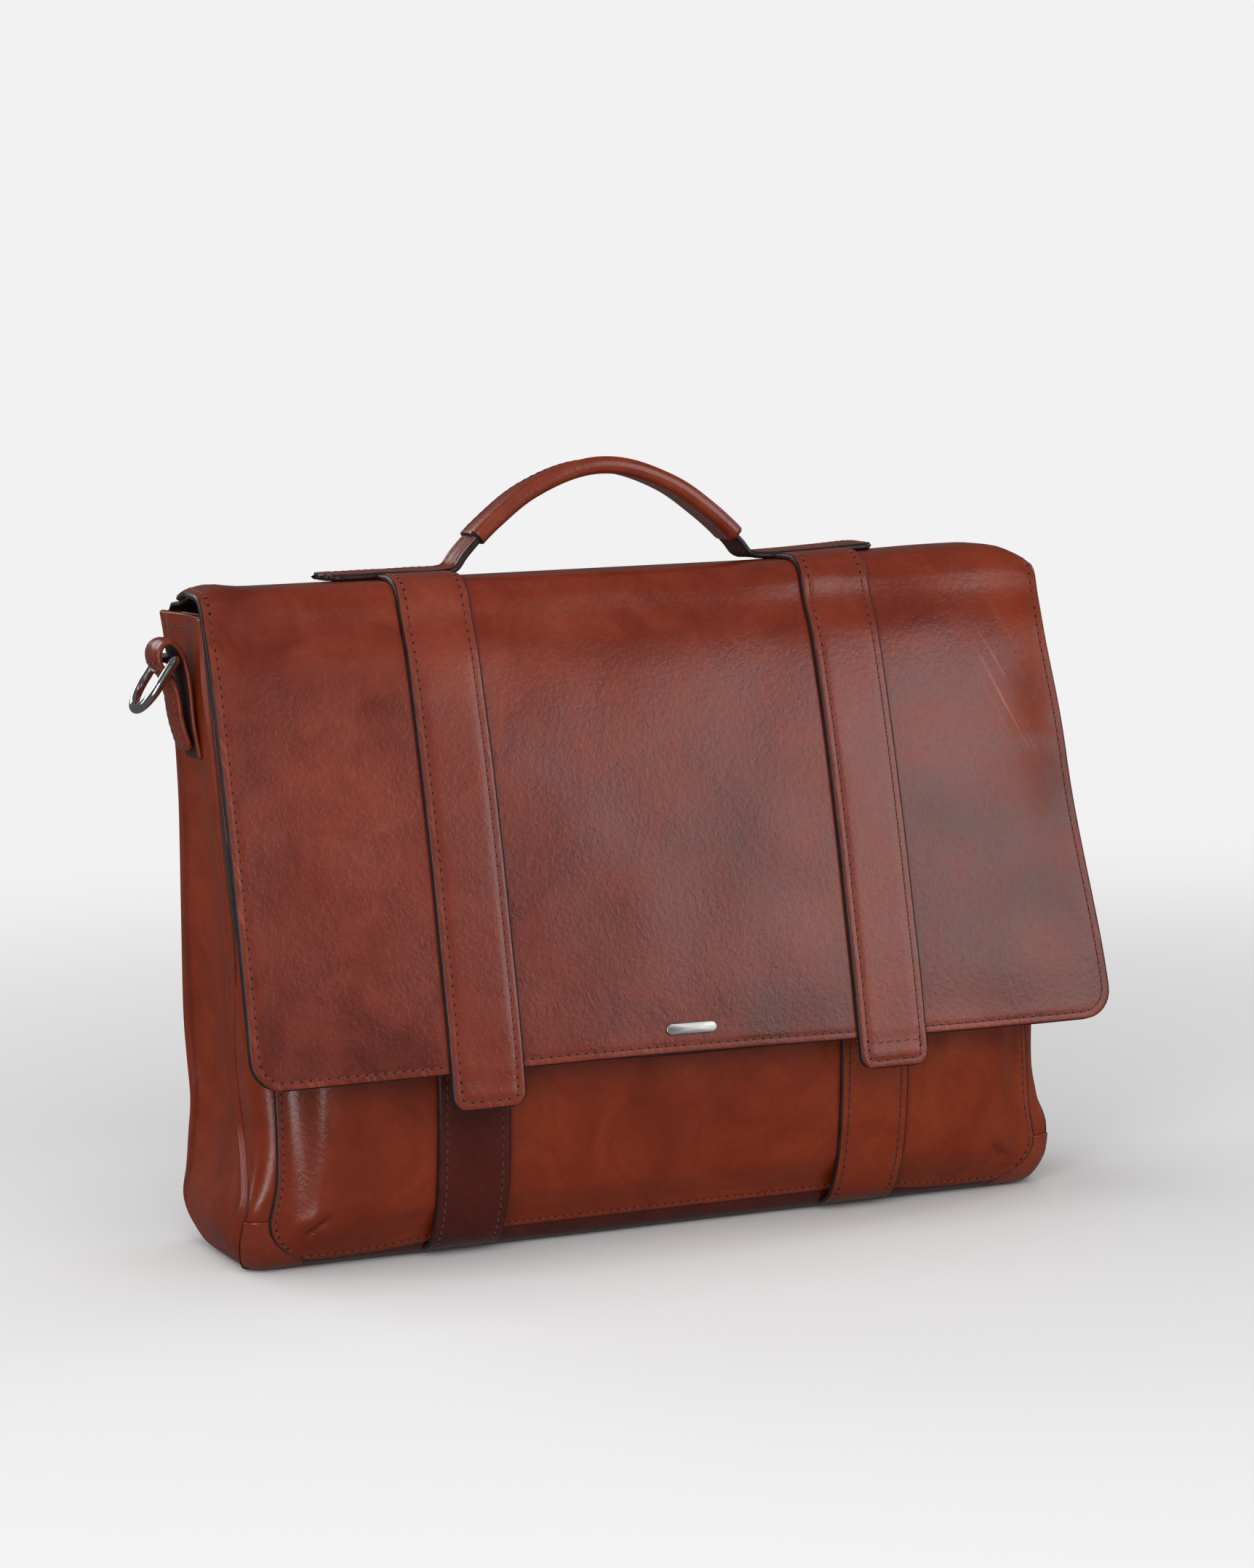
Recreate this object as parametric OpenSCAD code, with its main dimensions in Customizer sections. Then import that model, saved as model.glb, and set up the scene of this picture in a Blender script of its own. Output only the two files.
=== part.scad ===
// Leather briefcase with a front flap, two strap-and-snap closures, a top handle and two side rings.
// Millimetres. Origin: centre of the base, on the surface that the bag stands on.
// +X is the bag's right as seen from the front, -Y is the front, +Z is up.
// Side profiles are lists of [y, z]; the handle's profile is a list of [x, z].

/* [Bag] */
// Width of the body between the outer faces of the gussets
body_w = 400; // [380:2:420]
// Thickness of the body leather
leather_t = 2; // [1.4:0.1:2.4]
// Thickness of the textile lining
lining_t = 0.8; // [0.5:0.1:1]
// Thickness of the stiff board in the base
board_t = 1.6; // [1:0.2:2]
// How far the gussets turn under the base at each end
gusset_foot = 28; // [15:1:40]
// Height of the leather facing inside the mouth
facing_h = 26; // [15:1:40]

/* [Flap] */
// Width of the flap
flap_w = 406; // [400:1:420]
// Height of the flap's lower edge above the floor
flap_end_z = 91; // [88:1:100]
// Radius of the flap's lower corners
flap_corner_r = 14; // [6:1:25]
// Thickness of the flap's outer leather
flap_t = 1.8; // [1.4:0.1:2]
// Thickness of the flap's lining leather
flap_lining_t = 1; // [0.6:0.1:1.2]

/* [Straps] */
// Distance of each strap's middle from the middle of the bag
strap_x = 97; // [80:1:115]
// Width of the straps
strap_w = 33; // [26:1:40]
// Thickness of the upper straps
strap_t = 2.4; // [1.6:0.1:2.6]
// Thickness of the lower straps
lower_strap_t = 2.2; // [1.6:0.1:2.4]
// Height of the upper straps' ends above the floor
strap_end_z = 75; // [70:1:80]

/* [Pocket] */
// Width of the front pocket
pocket_w = 376; // [340:2:380]
// Thickness of the pocket leather
pocket_t = 1.8; // [1.4:0.1:2]

/* [Handle] */
// Width of the handle's base strap at its tabs
tab_w = 30; // [26:1:34]
// Width of the handle's base strap between the tabs
neck_w = 20; // [16:1:22]
// Thickness of the handle's base strap
handle_t = 3; // [2.4:0.2:3.6]
// Half of the length of the wrapped grip
grip_half = 62; // [50:1:63]
// Thickness of the leather wrapped round the grip
wrap_t = 1.6; // [1.2:0.2:2]

/* [Rings] */
// Diameter of the ring's wire
wire_d = 4.4; // [3.6:0.2:4.8]
// Distance between the middles of the ring's two sides
ring_w = 28; // [26:1:32]
// Distance from the ring's bar to the middle of the wire at its bow
ring_h = 26; // [24:1:30]
// Angle that the hanging ring is held away from the gusset
ring_rest_tilt = 35; // [25:1:45]
// Width of the leather loop that holds the ring
loop_w = 21; // [16:1:22]

/* [Hidden] */

$fn = 64;
eps = 0.01;
smooth_steps = 6;

body_color = "#8a3c1e";
flap_color = "#7c3524";
strap_color = "#87402a";
dark_color = "#5a2415";
lining_color = "#3b3430";
steel_color = "#c9ccd0";
board_color = "#8d7a5c";

// ---- curves ----
function catmull(a, b, c, d, t) =
    0.5 * (2 * b + (c - a) * t + (2 * a - 5 * b + 4 * c - d) * t * t
           + (3 * b - a - 3 * c + d) * t * t * t);
// A smooth path through the points, with smooth_steps points to each span
function smooth(p) = let (last = len(p) - 1)
    [for (i = [0 : last - 1]) let (a = i > 0 ? p[i - 1] : 2 * p[0] - p[1],
                                   d = i < last - 1 ? p[i + 2] : 2 * p[last] - p[last - 1])
        for (k = [0 : smooth_steps - 1 + (i == last - 1 ? 1 : 0)])
            catmull(a, p[i], p[i + 1], d, k / smooth_steps)];
function reversed(p) = [for (i = [len(p) - 1 : -1 : 0]) p[i]];
// The part of a path from point a to point b
function span(p, a, b) = [for (i = [a : b]) p[i]];
function left_normal(p, i) =
    let (v = p[min(i + 1, len(p) - 1)] - p[max(i - 1, 0)]) [-v.y, v.x] / norm(v);
// The path moved to its own left by a distance d
function moved(p, d) = [for (i = [0 : len(p) - 1]) p[i] + d * left_normal(p, i)];
// A band that lies between distances d0 and d1 to the left of part of a path
function band(p, a, b, d0, d1) =
    concat(span(moved(p, d0), a, b), reversed(span(moved(p, d1), a, b)));

// Extrudes a [y, z] outline along X
module along_x(x0, x1) {
    translate([x0, 0, 0]) rotate([90, 0, 90]) linear_extrude(x1 - x0) children();
}
// Extrudes an [x, z] outline along Y, the same distance each way
module along_y(width) {
    rotate([90, 0, 0]) linear_extrude(width, center = true) children();
}
module both_sides(side) {
    mirror([side < 0 ? 1 : 0, 0, 0]) children();
}

// ---- body: front top edge, round under the base, up to the back top edge ----
mouth_z = 288;
shell_points = [[-34, mouth_z], [-44, 230], [-53, 150], [-58, 85], [-59, 45], [-56, 20], [-47, 4],
                [-36, 0], [0, 0], [24, 0], [33, 4], [37, 20], [35, 60], [31, 110], [28, 200],
                [33, 255], [42, mouth_z]];
shell = [for (q = smooth(shell_points)) [q.x, max(q.y, 0)]];
shell_last = len(shell) - 1;
base_from = 6 * smooth_steps;
base_to = 10 * smooth_steps;
board_from = 7 * smooth_steps;
board_to = 9 * smooth_steps;
gusset_t = 2.2;
panel_x = body_w / 2 - gusset_t;
foot_x = body_w / 2 - gusset_foot;
cavity = moved(shell, leather_t + lining_t);

module shell_band(a, b, d0, d1, x0, x1) {
    along_x(x0, x1) polygon(band(shell, a, b, d0, d1));
}

module front_panel() {
    color(body_color) shell_band(0, base_from, 0, leather_t, -panel_x, panel_x);
}
module back_panel() {
    color(body_color) shell_band(base_to, shell_last, 0, leather_t, -panel_x, panel_x);
}
module base_panel() {
    color(body_color) shell_band(base_from, base_to, 0, leather_t, -foot_x, foot_x);
}
module gusset(side) {
    color(body_color) both_sides(side) {
        along_x(panel_x, body_w / 2) polygon(shell);
        shell_band(base_from, base_to, 0, leather_t, foot_x, panel_x + eps);
    }
}
module base_board() {
    color(board_color)
        shell_band(board_from, board_to, leather_t, leather_t + board_t, -foot_x, foot_x);
}
module lining() {
    raised = leather_t + board_t + lining_t;
    color(lining_color) difference() {
        union() {
            shell_band(0, shell_last, leather_t, leather_t + lining_t, -panel_x, panel_x);
            shell_band(board_from - 1, board_to + 1, leather_t, raised, -panel_x, panel_x);
            for (side = [-1, 1])
                both_sides(side) along_x(panel_x - lining_t, panel_x) polygon(moved(shell, leather_t));
        }
        base_board();
    }
}
// A leather band just inside the lining, all round the mouth
module mouth_facing() {
    facing_t = 1.2;
    inner = moved(shell, leather_t + lining_t + facing_t);
    facing_x = panel_x - lining_t;
    color(body_color) intersection() {
        difference() {
            along_x(-facing_x, facing_x) polygon(cavity);
            along_x(-facing_x + facing_t, facing_x - facing_t)
                polygon(concat([inner[0] + [0, 1]], inner, [inner[shell_last] + [0, 1]]));
        }
        translate([-body_w, -body_w, mouth_z - facing_h]) cube([2 * body_w, 2 * body_w, facing_h]);
    }
}

// ---- padded divider, with a zip pocket on its front face ----
divider_y = 12;
divider_t = 4;
divider_z = [8, 252];
divider_half = panel_x - lining_t - 3;
zip_z = 222;
zip_half = 95;
zip_face_y = divider_y - divider_t / 2;
tape_t = 0.8;
coil_t = 1.4;

module laptop_divider() {
    color(lining_color) translate([-divider_half, zip_face_y, divider_z[0]])
        cube([2 * divider_half, divider_t, divider_z[1] - divider_z[0]]);
}
module zip_tape() {
    tape_h = 26;
    coil_h = 5;
    color("#2c2624") {
        translate([-zip_half - 6, zip_face_y - tape_t, zip_z - tape_h / 2])
            cube([2 * zip_half + 12, tape_t, tape_h]);
        translate([-zip_half, zip_face_y - tape_t - coil_t, zip_z - coil_h / 2])
            cube([2 * zip_half, coil_t + eps, coil_h]);
    }
}
slider_x = -zip_half + 7;
slider_y = zip_face_y - tape_t - coil_t - 0.3;
slider_t = 2.6;
pull_pin_y = slider_y - slider_t - 1.6;
pull_pin_z = zip_z + 1.5;
pull_pin_r = 0.6;
barrel_w = 4.6;

module along_x_cylinder(r, w) {
    rotate([0, 90, 0]) cylinder(r = r, h = w, center = true);
}
module zip_slider() {
    slider_l = 11;
    slider_h = 9;
    ear_t = 0.9;
    ear_h = 2.6;
    color(steel_color) translate([slider_x, 0, 0]) {
        translate([-slider_l / 2, slider_y - slider_t, zip_z - slider_h / 2])
            cube([slider_l, slider_t, slider_h]);
        for (side = [-1, 1])
            translate([side * (barrel_w / 2 + 0.2 + ear_t / 2) - ear_t / 2,
                       pull_pin_y - 1.2, pull_pin_z - ear_h / 2])
                cube([ear_t, slider_y - slider_t - pull_pin_y + 1.2 + eps, ear_h]);
        translate([0, pull_pin_y, pull_pin_z]) along_x_cylinder(pull_pin_r, barrel_w + 1);
    }
}
module zip_pull() {
    pull_w = 7;
    pull_l = 28;
    pull_t = 1.4;
    shoulder_l = 4;
    color(steel_color) translate([slider_x, pull_pin_y, pull_pin_z]) difference() {
        union() {
            along_x_cylinder(1.3, barrel_w);
            rotate([90, 0, 0]) linear_extrude(pull_t, center = true) {
                translate([-barrel_w / 2, -shoulder_l - eps]) square([barrel_w, shoulder_l]);
                translate([-pull_w / 2, -pull_l]) square([pull_w, pull_l - shoulder_l]);
            }
        }
        along_x_cylinder(pull_pin_r + 0.06, barrel_w + 1);
    }
}

// ---- front pocket: mouth at the top, round to its seam above the base ----
pocket_face_y = -75;
pocket_points = [[-68, 188], [-72.4, 158], [-75.4, 122], [-75.8, 92], [-73.5, 58], [-69, 32],
                 [-61, 15], [-50, 7], [-40, 4]];
pocket = [for (q = smooth(pocket_points)) [max(q.x, pocket_face_y), q.y]];
pocket_last = len(pocket) - 1;
snap_z = 96;
lower_strap_from = 14;
trim_t = 1.2;
patch_from = 5 * smooth_steps - 1;

module front_pocket() {
    half = pocket_w / 2;
    color(body_color) difference() {
        union() {
            along_x(-half, half) polygon(band(pocket, 0, pocket_last, 0, pocket_t));
            for (side = [-1, 1])
                both_sides(side) along_x(half - pocket_t, half) polygon(pocket);
        }
        along_x(-body_w, body_w) polygon(shell);
    }
}
// The turned seam allowance down both sides of the pocket
module pocket_side_tape() {
    tape_w = 7;
    color(dark_color) for (side = [-1, 1])
        both_sides(side) shell_band(10, patch_from - 1, -trim_t, 0, pocket_w / 2, pocket_w / 2 + tape_w);
}
// A patch of leather on the front of each lower corner, beside the pocket
module corner_patch(side) {
    color(body_color) both_sides(side)
        shell_band(patch_from, base_from, -trim_t, 0, pocket_w / 2 + 0.3, panel_x);
}
module lower_strap(side) {
    color(dark_color) intersection() {
        difference() {
            along_x(side * strap_x - strap_w / 2, side * strap_x + strap_w / 2)
                polygon(band(pocket, lower_strap_from, pocket_last, -lower_strap_t, 0));
            along_x(-body_w, body_w) polygon(shell);
        }
        translate([-body_w, -body_w, 0]) cube(2 * body_w);
    }
}

// ---- magnetic snaps: a socket on each lower strap, a stud behind each upper strap ----
socket_face_y = pocket_face_y - lower_strap_t;
socket_t = 3.4;
snap_gap = 0.3;
stud_face_y = socket_face_y - socket_t - snap_gap;
stud_t = 4.2;
stud_r = 3.2;
socket_hole_r = 4.4;

module snap_disc(side, y, r, t) {
    translate([side * strap_x, y, snap_z]) rotate([90, 0, 0]) cylinder(r = r, h = t);
}
module lower_snap(side) {
    color(steel_color) difference() {
        snap_disc(side, socket_face_y, 13, socket_t);
        snap_disc(side, socket_face_y - socket_t + 2, socket_hole_r, 3);
    }
}
module upper_snap(side) {
    color(steel_color) {
        snap_disc(side, stud_face_y, 9.5, stud_t);
        snap_disc(side, stud_face_y + 1.4, stud_r, 1.4 + eps);
    }
}

// ---- flap: from its seam on the back panel, over the crest, to its front edge ----
crest_z = 304;
flap_all = flap_t + flap_lining_t;
flap_points = [[31.5, 238], [35.8, 256], [44.8, 288], [40, 299], [22, 304.4], [0, 304.4],
               [-24, 304.4], [-37.5, 300.5], [-45, 287], [-53, 266], [-60.5, 241], [-74, 190],
               [-83, 150], [-89.5, 118], [-94, 91], [-96.5, 75]];
flap = [for (q = smooth(flap_points)) [q.x, min(q.y, crest_z)]];
flap_last = len(flap) - 1;
// Points of the path where the flap bends: at its seam with the back, and at the front of the crest
seam_at = 2 * smooth_steps;
fold_at = 7 * smooth_steps + 3;
bend_gap = 1;
strap_from = 6 * smooth_steps - 1;

module flap_band(a, b, d0, d1, half) {
    along_x(-half, half) polygon(band(flap, a, b, d0, d1));
}
// Everything inside an upright outline with round lower corners, from end_z upwards
module round_ended(half, end_z, r) {
    along_y(4 * body_w) hull() {
        for (side = [-1, 1]) translate([side * (half - r), end_z + r]) circle(r);
        translate([-half, 400]) square([2 * half, 1]);
    }
}

module flap_back_band() {
    color(flap_color) difference() {
        flap_band(0, seam_at - bend_gap, 0, flap_all, flap_w / 2 - 4);
        along_x(-body_w, body_w) polygon(shell);
    }
}
module flap_top() {
    color(flap_color)
        flap_band(seam_at + bend_gap, fold_at - bend_gap, 0, flap_t, flap_w / 2);
}
module flap_top_lining() {
    color(dark_color)
        flap_band(seam_at + bend_gap, fold_at - bend_gap, flap_t, flap_all, flap_w / 2 - 1);
}
module flap_front() {
    color(flap_color) intersection() {
        flap_band(fold_at + bend_gap, flap_last, 0, flap_t, flap_w / 2);
        round_ended(flap_w / 2, flap_end_z, flap_corner_r);
    }
}
module flap_front_lining() {
    color(dark_color) intersection() {
        flap_band(fold_at + bend_gap, flap_last, flap_t, flap_all, flap_w / 2 - 1);
        round_ended(flap_w / 2 - 1, flap_end_z + 1, flap_corner_r - 1);
    }
}
module strap_crest(side) {
    color(strap_color) along_x(side * strap_x - strap_w / 2, side * strap_x + strap_w / 2)
        polygon(band(flap, strap_from, fold_at - 2 * bend_gap, -strap_t, 0));
}
module upper_strap(side) {
    color(strap_color) translate([side * strap_x, 0, 0]) intersection() {
        along_x(-strap_w / 2, strap_w / 2)
            polygon(band(flap, fold_at + bend_gap, flap_last, -strap_t, 0));
        round_ended(strap_w / 2, strap_end_z, 6);
    }
}
// A leather washer that carries the stud, flat at the stud and sloping with the flap behind it
module snap_pad(side) {
    color(dark_color) intersection() {
        snap_disc(side, stud_face_y - stud_t, 12, 14);
        along_x(-body_w, body_w) polygon(band(flap, fold_at + bend_gap, flap_last, flap_all, 16));
    }
}
module name_plate() {
    plate_w = 24;
    plate_h = 5;
    plate_z = 99;
    color(steel_color) intersection() {
        flap_band(fold_at + bend_gap, flap_last, -1, 0, plate_w / 2);
        translate([-plate_w / 2, -body_w, plate_z]) cube([plate_w, body_w, plate_h]);
    }
}

// ---- handle: flat tabs on the crest, joined by a raised grip ----
tab_end_x = 133;
half_handle = [[-tab_end_x, crest_z], [-105, crest_z], [-80, crest_z], [-71.5, 305.5],
               [-66.5, 311], [-60, 317], [-50, 324.5], [-34, 335], [-16, 342.5]];
handle = [for (q = smooth(concat(half_handle, [[0, 345]],
                                 [for (q = reversed(half_handle)) [-q.x, q.y]])))
             [q.x, max(q.y, crest_z)]];
handle_last = len(handle) - 1;
grip_from = 3 * smooth_steps;
filler_from = 5 * smooth_steps + 2;
filler_t = 2;

module handle_band(a, d0, d1, width) {
    along_y(width) polygon(band(handle, a, handle_last - a, d0, d1));
}
module handle_strap() {
    color(strap_color) intersection() {
        handle_band(0, 0, handle_t, tab_w);
        translate([0, 0, crest_z - 1]) linear_extrude(100) {
            for (side = [-1, 1]) hull() {
                for (y = [-1, 1])
                    translate([side * (tab_end_x - 5), y * (tab_w / 2 - 5)]) circle(5);
                translate([side * 84 - 0.5, -tab_w / 2]) square([1, tab_w]);
                translate([side * 72 - 0.5, -neck_w / 2]) square([1, neck_w]);
            }
            square([146, neck_w], center = true);
        }
    }
}
module handle_filler() {
    color(dark_color) handle_band(filler_from, handle_t, handle_t + filler_t, neck_w - 4);
}
module handle_grip() {
    color(strap_color) intersection() {
        difference() {
            handle_band(grip_from, -wrap_t, handle_t + filler_t + wrap_t, neck_w + 2 * wrap_t);
            handle_band(0, 0, handle_t, neck_w);
            handle_filler();
        }
        translate([-grip_half, -tab_w, crest_z]) cube([2 * grip_half, 2 * tab_w, 100]);
    }
}

// ---- side rings: a bar in a leather loop, two sides and a round bow ----
loop_x = body_w / 2 + 7.3;
loop_z = 272;
loop_r = 7.3;
tunnel_r = 4.6;
pivot_z = loop_z - tunnel_r + wire_d / 2 + 0.2;
loop_foot_z = 228;

module ring_loop(side) {
    back_x = body_w / 2;
    color(strap_color) both_sides(side) along_y(loop_w) difference() {
        union() {
            translate([loop_x, loop_z]) circle(loop_r);
            polygon([[back_x, loop_z], [back_x, loop_foot_z], [back_x + 3.4, loop_foot_z],
                     [back_x + 5.6, loop_foot_z + 3], [back_x + 6.4, loop_foot_z + 20],
                     [back_x + 6.6, loop_z - 13], [loop_x + loop_r - 2, loop_z - 4.2]]);
        }
        translate([loop_x, loop_z]) circle(tunnel_r);
    }
}
module ring(side) {
    bow_r = ring_w / 2;
    side_l = ring_h - bow_r;
    color(steel_color) both_sides(side) translate([loop_x, 0, pivot_z]) rotate([0, -ring_rest_tilt, 0]) {
        for (y = [-bow_r, bow_r]) translate([0, y, 0]) {
            sphere(d = wire_d);
            translate([0, 0, -side_l]) cylinder(d = wire_d, h = side_l);
        }
        rotate([90, 0, 0]) cylinder(d = wire_d, h = ring_w, center = true);
        translate([0, 0, -side_l]) rotate([0, 90, 0]) rotate([0, 0, 90])
            rotate_extrude(angle = -180) translate([bow_r, 0]) circle(d = wire_d);
    }
}

front_panel();
back_panel();
base_panel();
gusset(-1);  // left_gusset
gusset(1);  // right_gusset
base_board();
lining();
mouth_facing();
laptop_divider();
zip_tape();
front_pocket();
pocket_side_tape();
corner_patch(-1);  // left_corner_patch
corner_patch(1);  // right_corner_patch
lower_strap(-1);  // left_lower_strap
lower_strap(1);  // right_lower_strap
lower_snap(-1);  // left_lower_snap
lower_snap(1);  // right_lower_snap
ring_loop(-1);  // left_ring_loop
ring_loop(1);  // right_ring_loop
flap_back_band();
flap_top();
flap_top_lining();
strap_crest(-1);  // left_strap_crest
strap_crest(1);  // right_strap_crest
handle_strap();
handle_filler();
handle_grip();
flap_front();
flap_front_lining();
upper_strap(-1);  // left_upper_strap
upper_strap(1);  // right_upper_strap
snap_pad(-1);  // left_snap_pad
snap_pad(1);  // right_snap_pad
upper_snap(-1);  // left_upper_snap
upper_snap(1);  // right_upper_snap
name_plate();
ring(-1);  // left_ring
ring(1);  // right_ring
zip_slider();
zip_pull();
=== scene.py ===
"""Looks of the leather briefcase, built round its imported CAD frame.

Shapes are worked out in millimetres, in the frame's own axes, and turned into metres when a mesh
is made. A surface is a function of two numbers, u across and v along, that returns points.
"""
import math

import bmesh
import bpy
import numpy as np
from mathutils import Matrix, Vector, noise


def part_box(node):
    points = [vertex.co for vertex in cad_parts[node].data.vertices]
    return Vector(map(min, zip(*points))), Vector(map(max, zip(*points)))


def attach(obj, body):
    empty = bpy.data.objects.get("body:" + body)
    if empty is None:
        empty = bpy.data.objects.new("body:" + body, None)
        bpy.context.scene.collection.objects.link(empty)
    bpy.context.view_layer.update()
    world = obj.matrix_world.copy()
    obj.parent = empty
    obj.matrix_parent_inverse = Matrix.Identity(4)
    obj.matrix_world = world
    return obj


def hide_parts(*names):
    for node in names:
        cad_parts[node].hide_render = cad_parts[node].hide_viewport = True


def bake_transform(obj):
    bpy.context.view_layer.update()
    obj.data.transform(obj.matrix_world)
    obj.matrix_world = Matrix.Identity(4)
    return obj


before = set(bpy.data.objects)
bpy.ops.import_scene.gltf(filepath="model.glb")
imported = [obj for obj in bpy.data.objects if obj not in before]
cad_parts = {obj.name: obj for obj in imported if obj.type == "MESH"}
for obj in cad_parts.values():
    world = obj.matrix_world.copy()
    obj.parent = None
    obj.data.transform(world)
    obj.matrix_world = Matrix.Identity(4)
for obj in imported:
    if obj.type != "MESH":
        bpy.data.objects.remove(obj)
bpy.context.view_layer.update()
MM = 0.001
SIDES = ((-1, "left"), (1, "right"))
SEAM = 3.5  # how far most seams run from their leather's edge


def box(name):
    """The low and high corners of a CAD piece's box."""
    return [np.array(corner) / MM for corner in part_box(name)]


# ---------------------------------------------------------------- curves and surfaces
def smooth(points, steps=12):
    """A Catmull-Rom path through the points."""
    p = np.array(points, float)
    p = np.vstack([2 * p[0] - p[1], p, 2 * p[-1] - p[-2]])
    t = np.arange(steps)[:, None] / steps
    spans = []
    for i in range(1, len(p) - 2):
        a, b, c, d = p[i - 1:i + 3]
        spans.append(0.5 * (2 * b + (c - a) * t + (2 * a - 5 * b + 4 * c - d) * t ** 2
                            + (3 * b - a - 3 * c + d) * t ** 3))
    return np.vstack(spans + [p[-2:-1]])


class Path:
    """A smooth path in a plane, measured along its length, with its normal on its right."""

    def __init__(self, points, top=None):
        self.p = smooth(points)
        if top is not None:
            self.p[:, 1] = np.minimum(self.p[:, 1], top)
        step = np.linalg.norm(np.diff(self.p, axis=0), axis=1)
        self.s = np.concatenate([[0], np.cumsum(step)])
        self.length = self.s[-1]
        v = np.gradient(self.p, axis=0)
        v /= np.linalg.norm(v, axis=1)[:, None]
        self.n = np.stack([v[:, 1], -v[:, 0]], axis=1)

    def at(self, s):
        return [np.interp(s, self.s, self.p[:, k]) for k in (0, 1)]

    def normal(self, s):
        return [np.interp(s, self.s, self.n[:, k]) for k in (0, 1)]

    def where(self, axis, value, after=0.0):
        """The length at which the path first crosses a value, past a given length."""
        c = self.p[:, axis] - value
        for i in range(1, len(c)):
            if self.s[i] > after and c[i - 1] * c[i] <= 0:
                f = c[i - 1] / (c[i - 1] - c[i] + 1e-12)
                return self.s[i - 1] + f * (self.s[i] - self.s[i - 1])
        return self.length


class Surface:
    """Points of f(u, v), with the outward normal."""

    def __init__(self, f, sign=1):
        self.f = f
        self.sign = sign

    def at(self, u, v):
        return self.f(np.asarray(u, float), np.asarray(v, float))

    def normal(self, u, v, e=0.05):
        u, v = np.asarray(u, float), np.asarray(v, float)
        a = self.f(u + e, v) - self.f(u - e, v)
        b = self.f(u, v + e) - self.f(u, v - e)
        n = np.cross(a, b) * self.sign
        return n / (np.linalg.norm(n, axis=-1, keepdims=True) + 1e-12)

    def lifted(self, h):
        return Surface(lambda u, v: self.at(u, v) + h * self.normal(u, v), self.sign)


def xyz(x, y, z):
    return np.stack(np.broadcast_arrays(x, y, z), axis=-1).astype(float)


def ease(t):
    t = np.clip(t, 0, 1)
    return t * t * (3 - 2 * t)


def hill(t, width):
    return np.exp(-(t / width) ** 2)


def lumps(a, b, size, seed):
    """Smooth noise from -1 to 1 over two coordinates in millimetres."""
    a, b = np.broadcast_arrays(a, b)
    values = [noise.noise(Vector((p / size, q / size, seed))) for p, q in zip(a.ravel(), b.ravel())]
    return np.array(values).reshape(a.shape)


def spread(low, high, step, ends=(0, 0.55, 1.4, 2.6, 3.5, 4.5, 6.5, 9)):
    """Positions from low to high, closer together near both ends."""
    span = high - low
    ends = [e for e in ends if e < span / 3]
    middle = np.linspace(low + ends[-1], high - ends[-1], max(2, int(span / step)))
    return np.concatenate([low + np.array(ends[:-1]), middle, high - np.array(ends[:-1])[::-1]])


# ---------------------------------------------------------------- meshes
def new_object(name, verts, faces, materials, face_materials=None):
    mesh = bpy.data.meshes.new(name)
    mesh.from_pydata((np.asarray(verts) * MM).tolist(), [], [list(f) for f in faces])
    for m in materials:
        mesh.materials.append(m)
    if face_materials is not None:
        mesh.polygons.foreach_set("material_index", np.array(face_materials, np.int32))
    mesh.polygons.foreach_set("use_smooth", [True] * len(mesh.polygons))
    mesh.update()
    obj = bpy.data.objects.new(name, mesh)
    bpy.context.scene.collection.objects.link(obj)
    return obj


def outward(obj):
    """Turns a closed mesh's faces outward."""
    b = bmesh.new()
    b.from_mesh(obj.data)
    bmesh.ops.recalc_face_normals(b, faces=b.faces)
    b.to_mesh(obj.data)
    b.free()
    return obj


def quads(rows, cols, first=0, closed=False):
    n = cols if closed else cols - 1
    return [(first + i * cols + j, first + i * cols + (j + 1) % cols,
             first + (i + 1) * cols + (j + 1) % cols, first + (i + 1) * cols + j)
            for i in range(rows - 1) for j in range(n)]


def sheet_object(name, surface, u, v, thickness, materials):
    """A sheet of leather: its face, its back and a rounded edge all round, as one closed mesh."""
    bulge = 0.45 * thickness
    top = surface.at(u, v)
    normal = surface.normal(u, v)
    rows, cols = top.shape[:2]
    under = top - normal * thickness
    ring = ([(0, j) for j in range(cols)] + [(i, cols - 1) for i in range(1, rows)]
            + [(rows - 1, j) for j in range(cols - 2, -1, -1)]
            + [(i, 0) for i in range(rows - 2, 0, -1)])
    edge = []
    for i, j in ring:
        inner = (min(max(i, 1), rows - 2), min(max(j, 1), cols - 2))
        out = top[i, j] - top[inner]
        out -= normal[i, j] * (out @ normal[i, j])
        out /= np.linalg.norm(out) + 1e-9
        edge.append((top[i, j] + under[i, j]) / 2 + out * bulge)
    size = rows * cols
    verts = np.vstack([top.reshape(-1, 3), under.reshape(-1, 3), edge])
    faces = quads(rows, cols) + [f[::-1] for f in quads(rows, cols, size)]
    rim = [i in (0, rows - 2) or j in (0, cols - 2) for i in range(rows - 1) for j in range(cols - 1)]
    kinds = [2 * r for r in rim] + [1] * len(rim)
    count = len(ring)
    for k in range(count):
        m = (k + 1) % count
        a, b = (ring[q][0] * cols + ring[q][1] for q in (k, m))
        faces += [(a, 2 * size + k, 2 * size + m, b), (2 * size + k, size + a, size + b, 2 * size + m)]
        kinds += [2, 2]
    return outward(new_object(name, verts, faces, materials, kinds))


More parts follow.
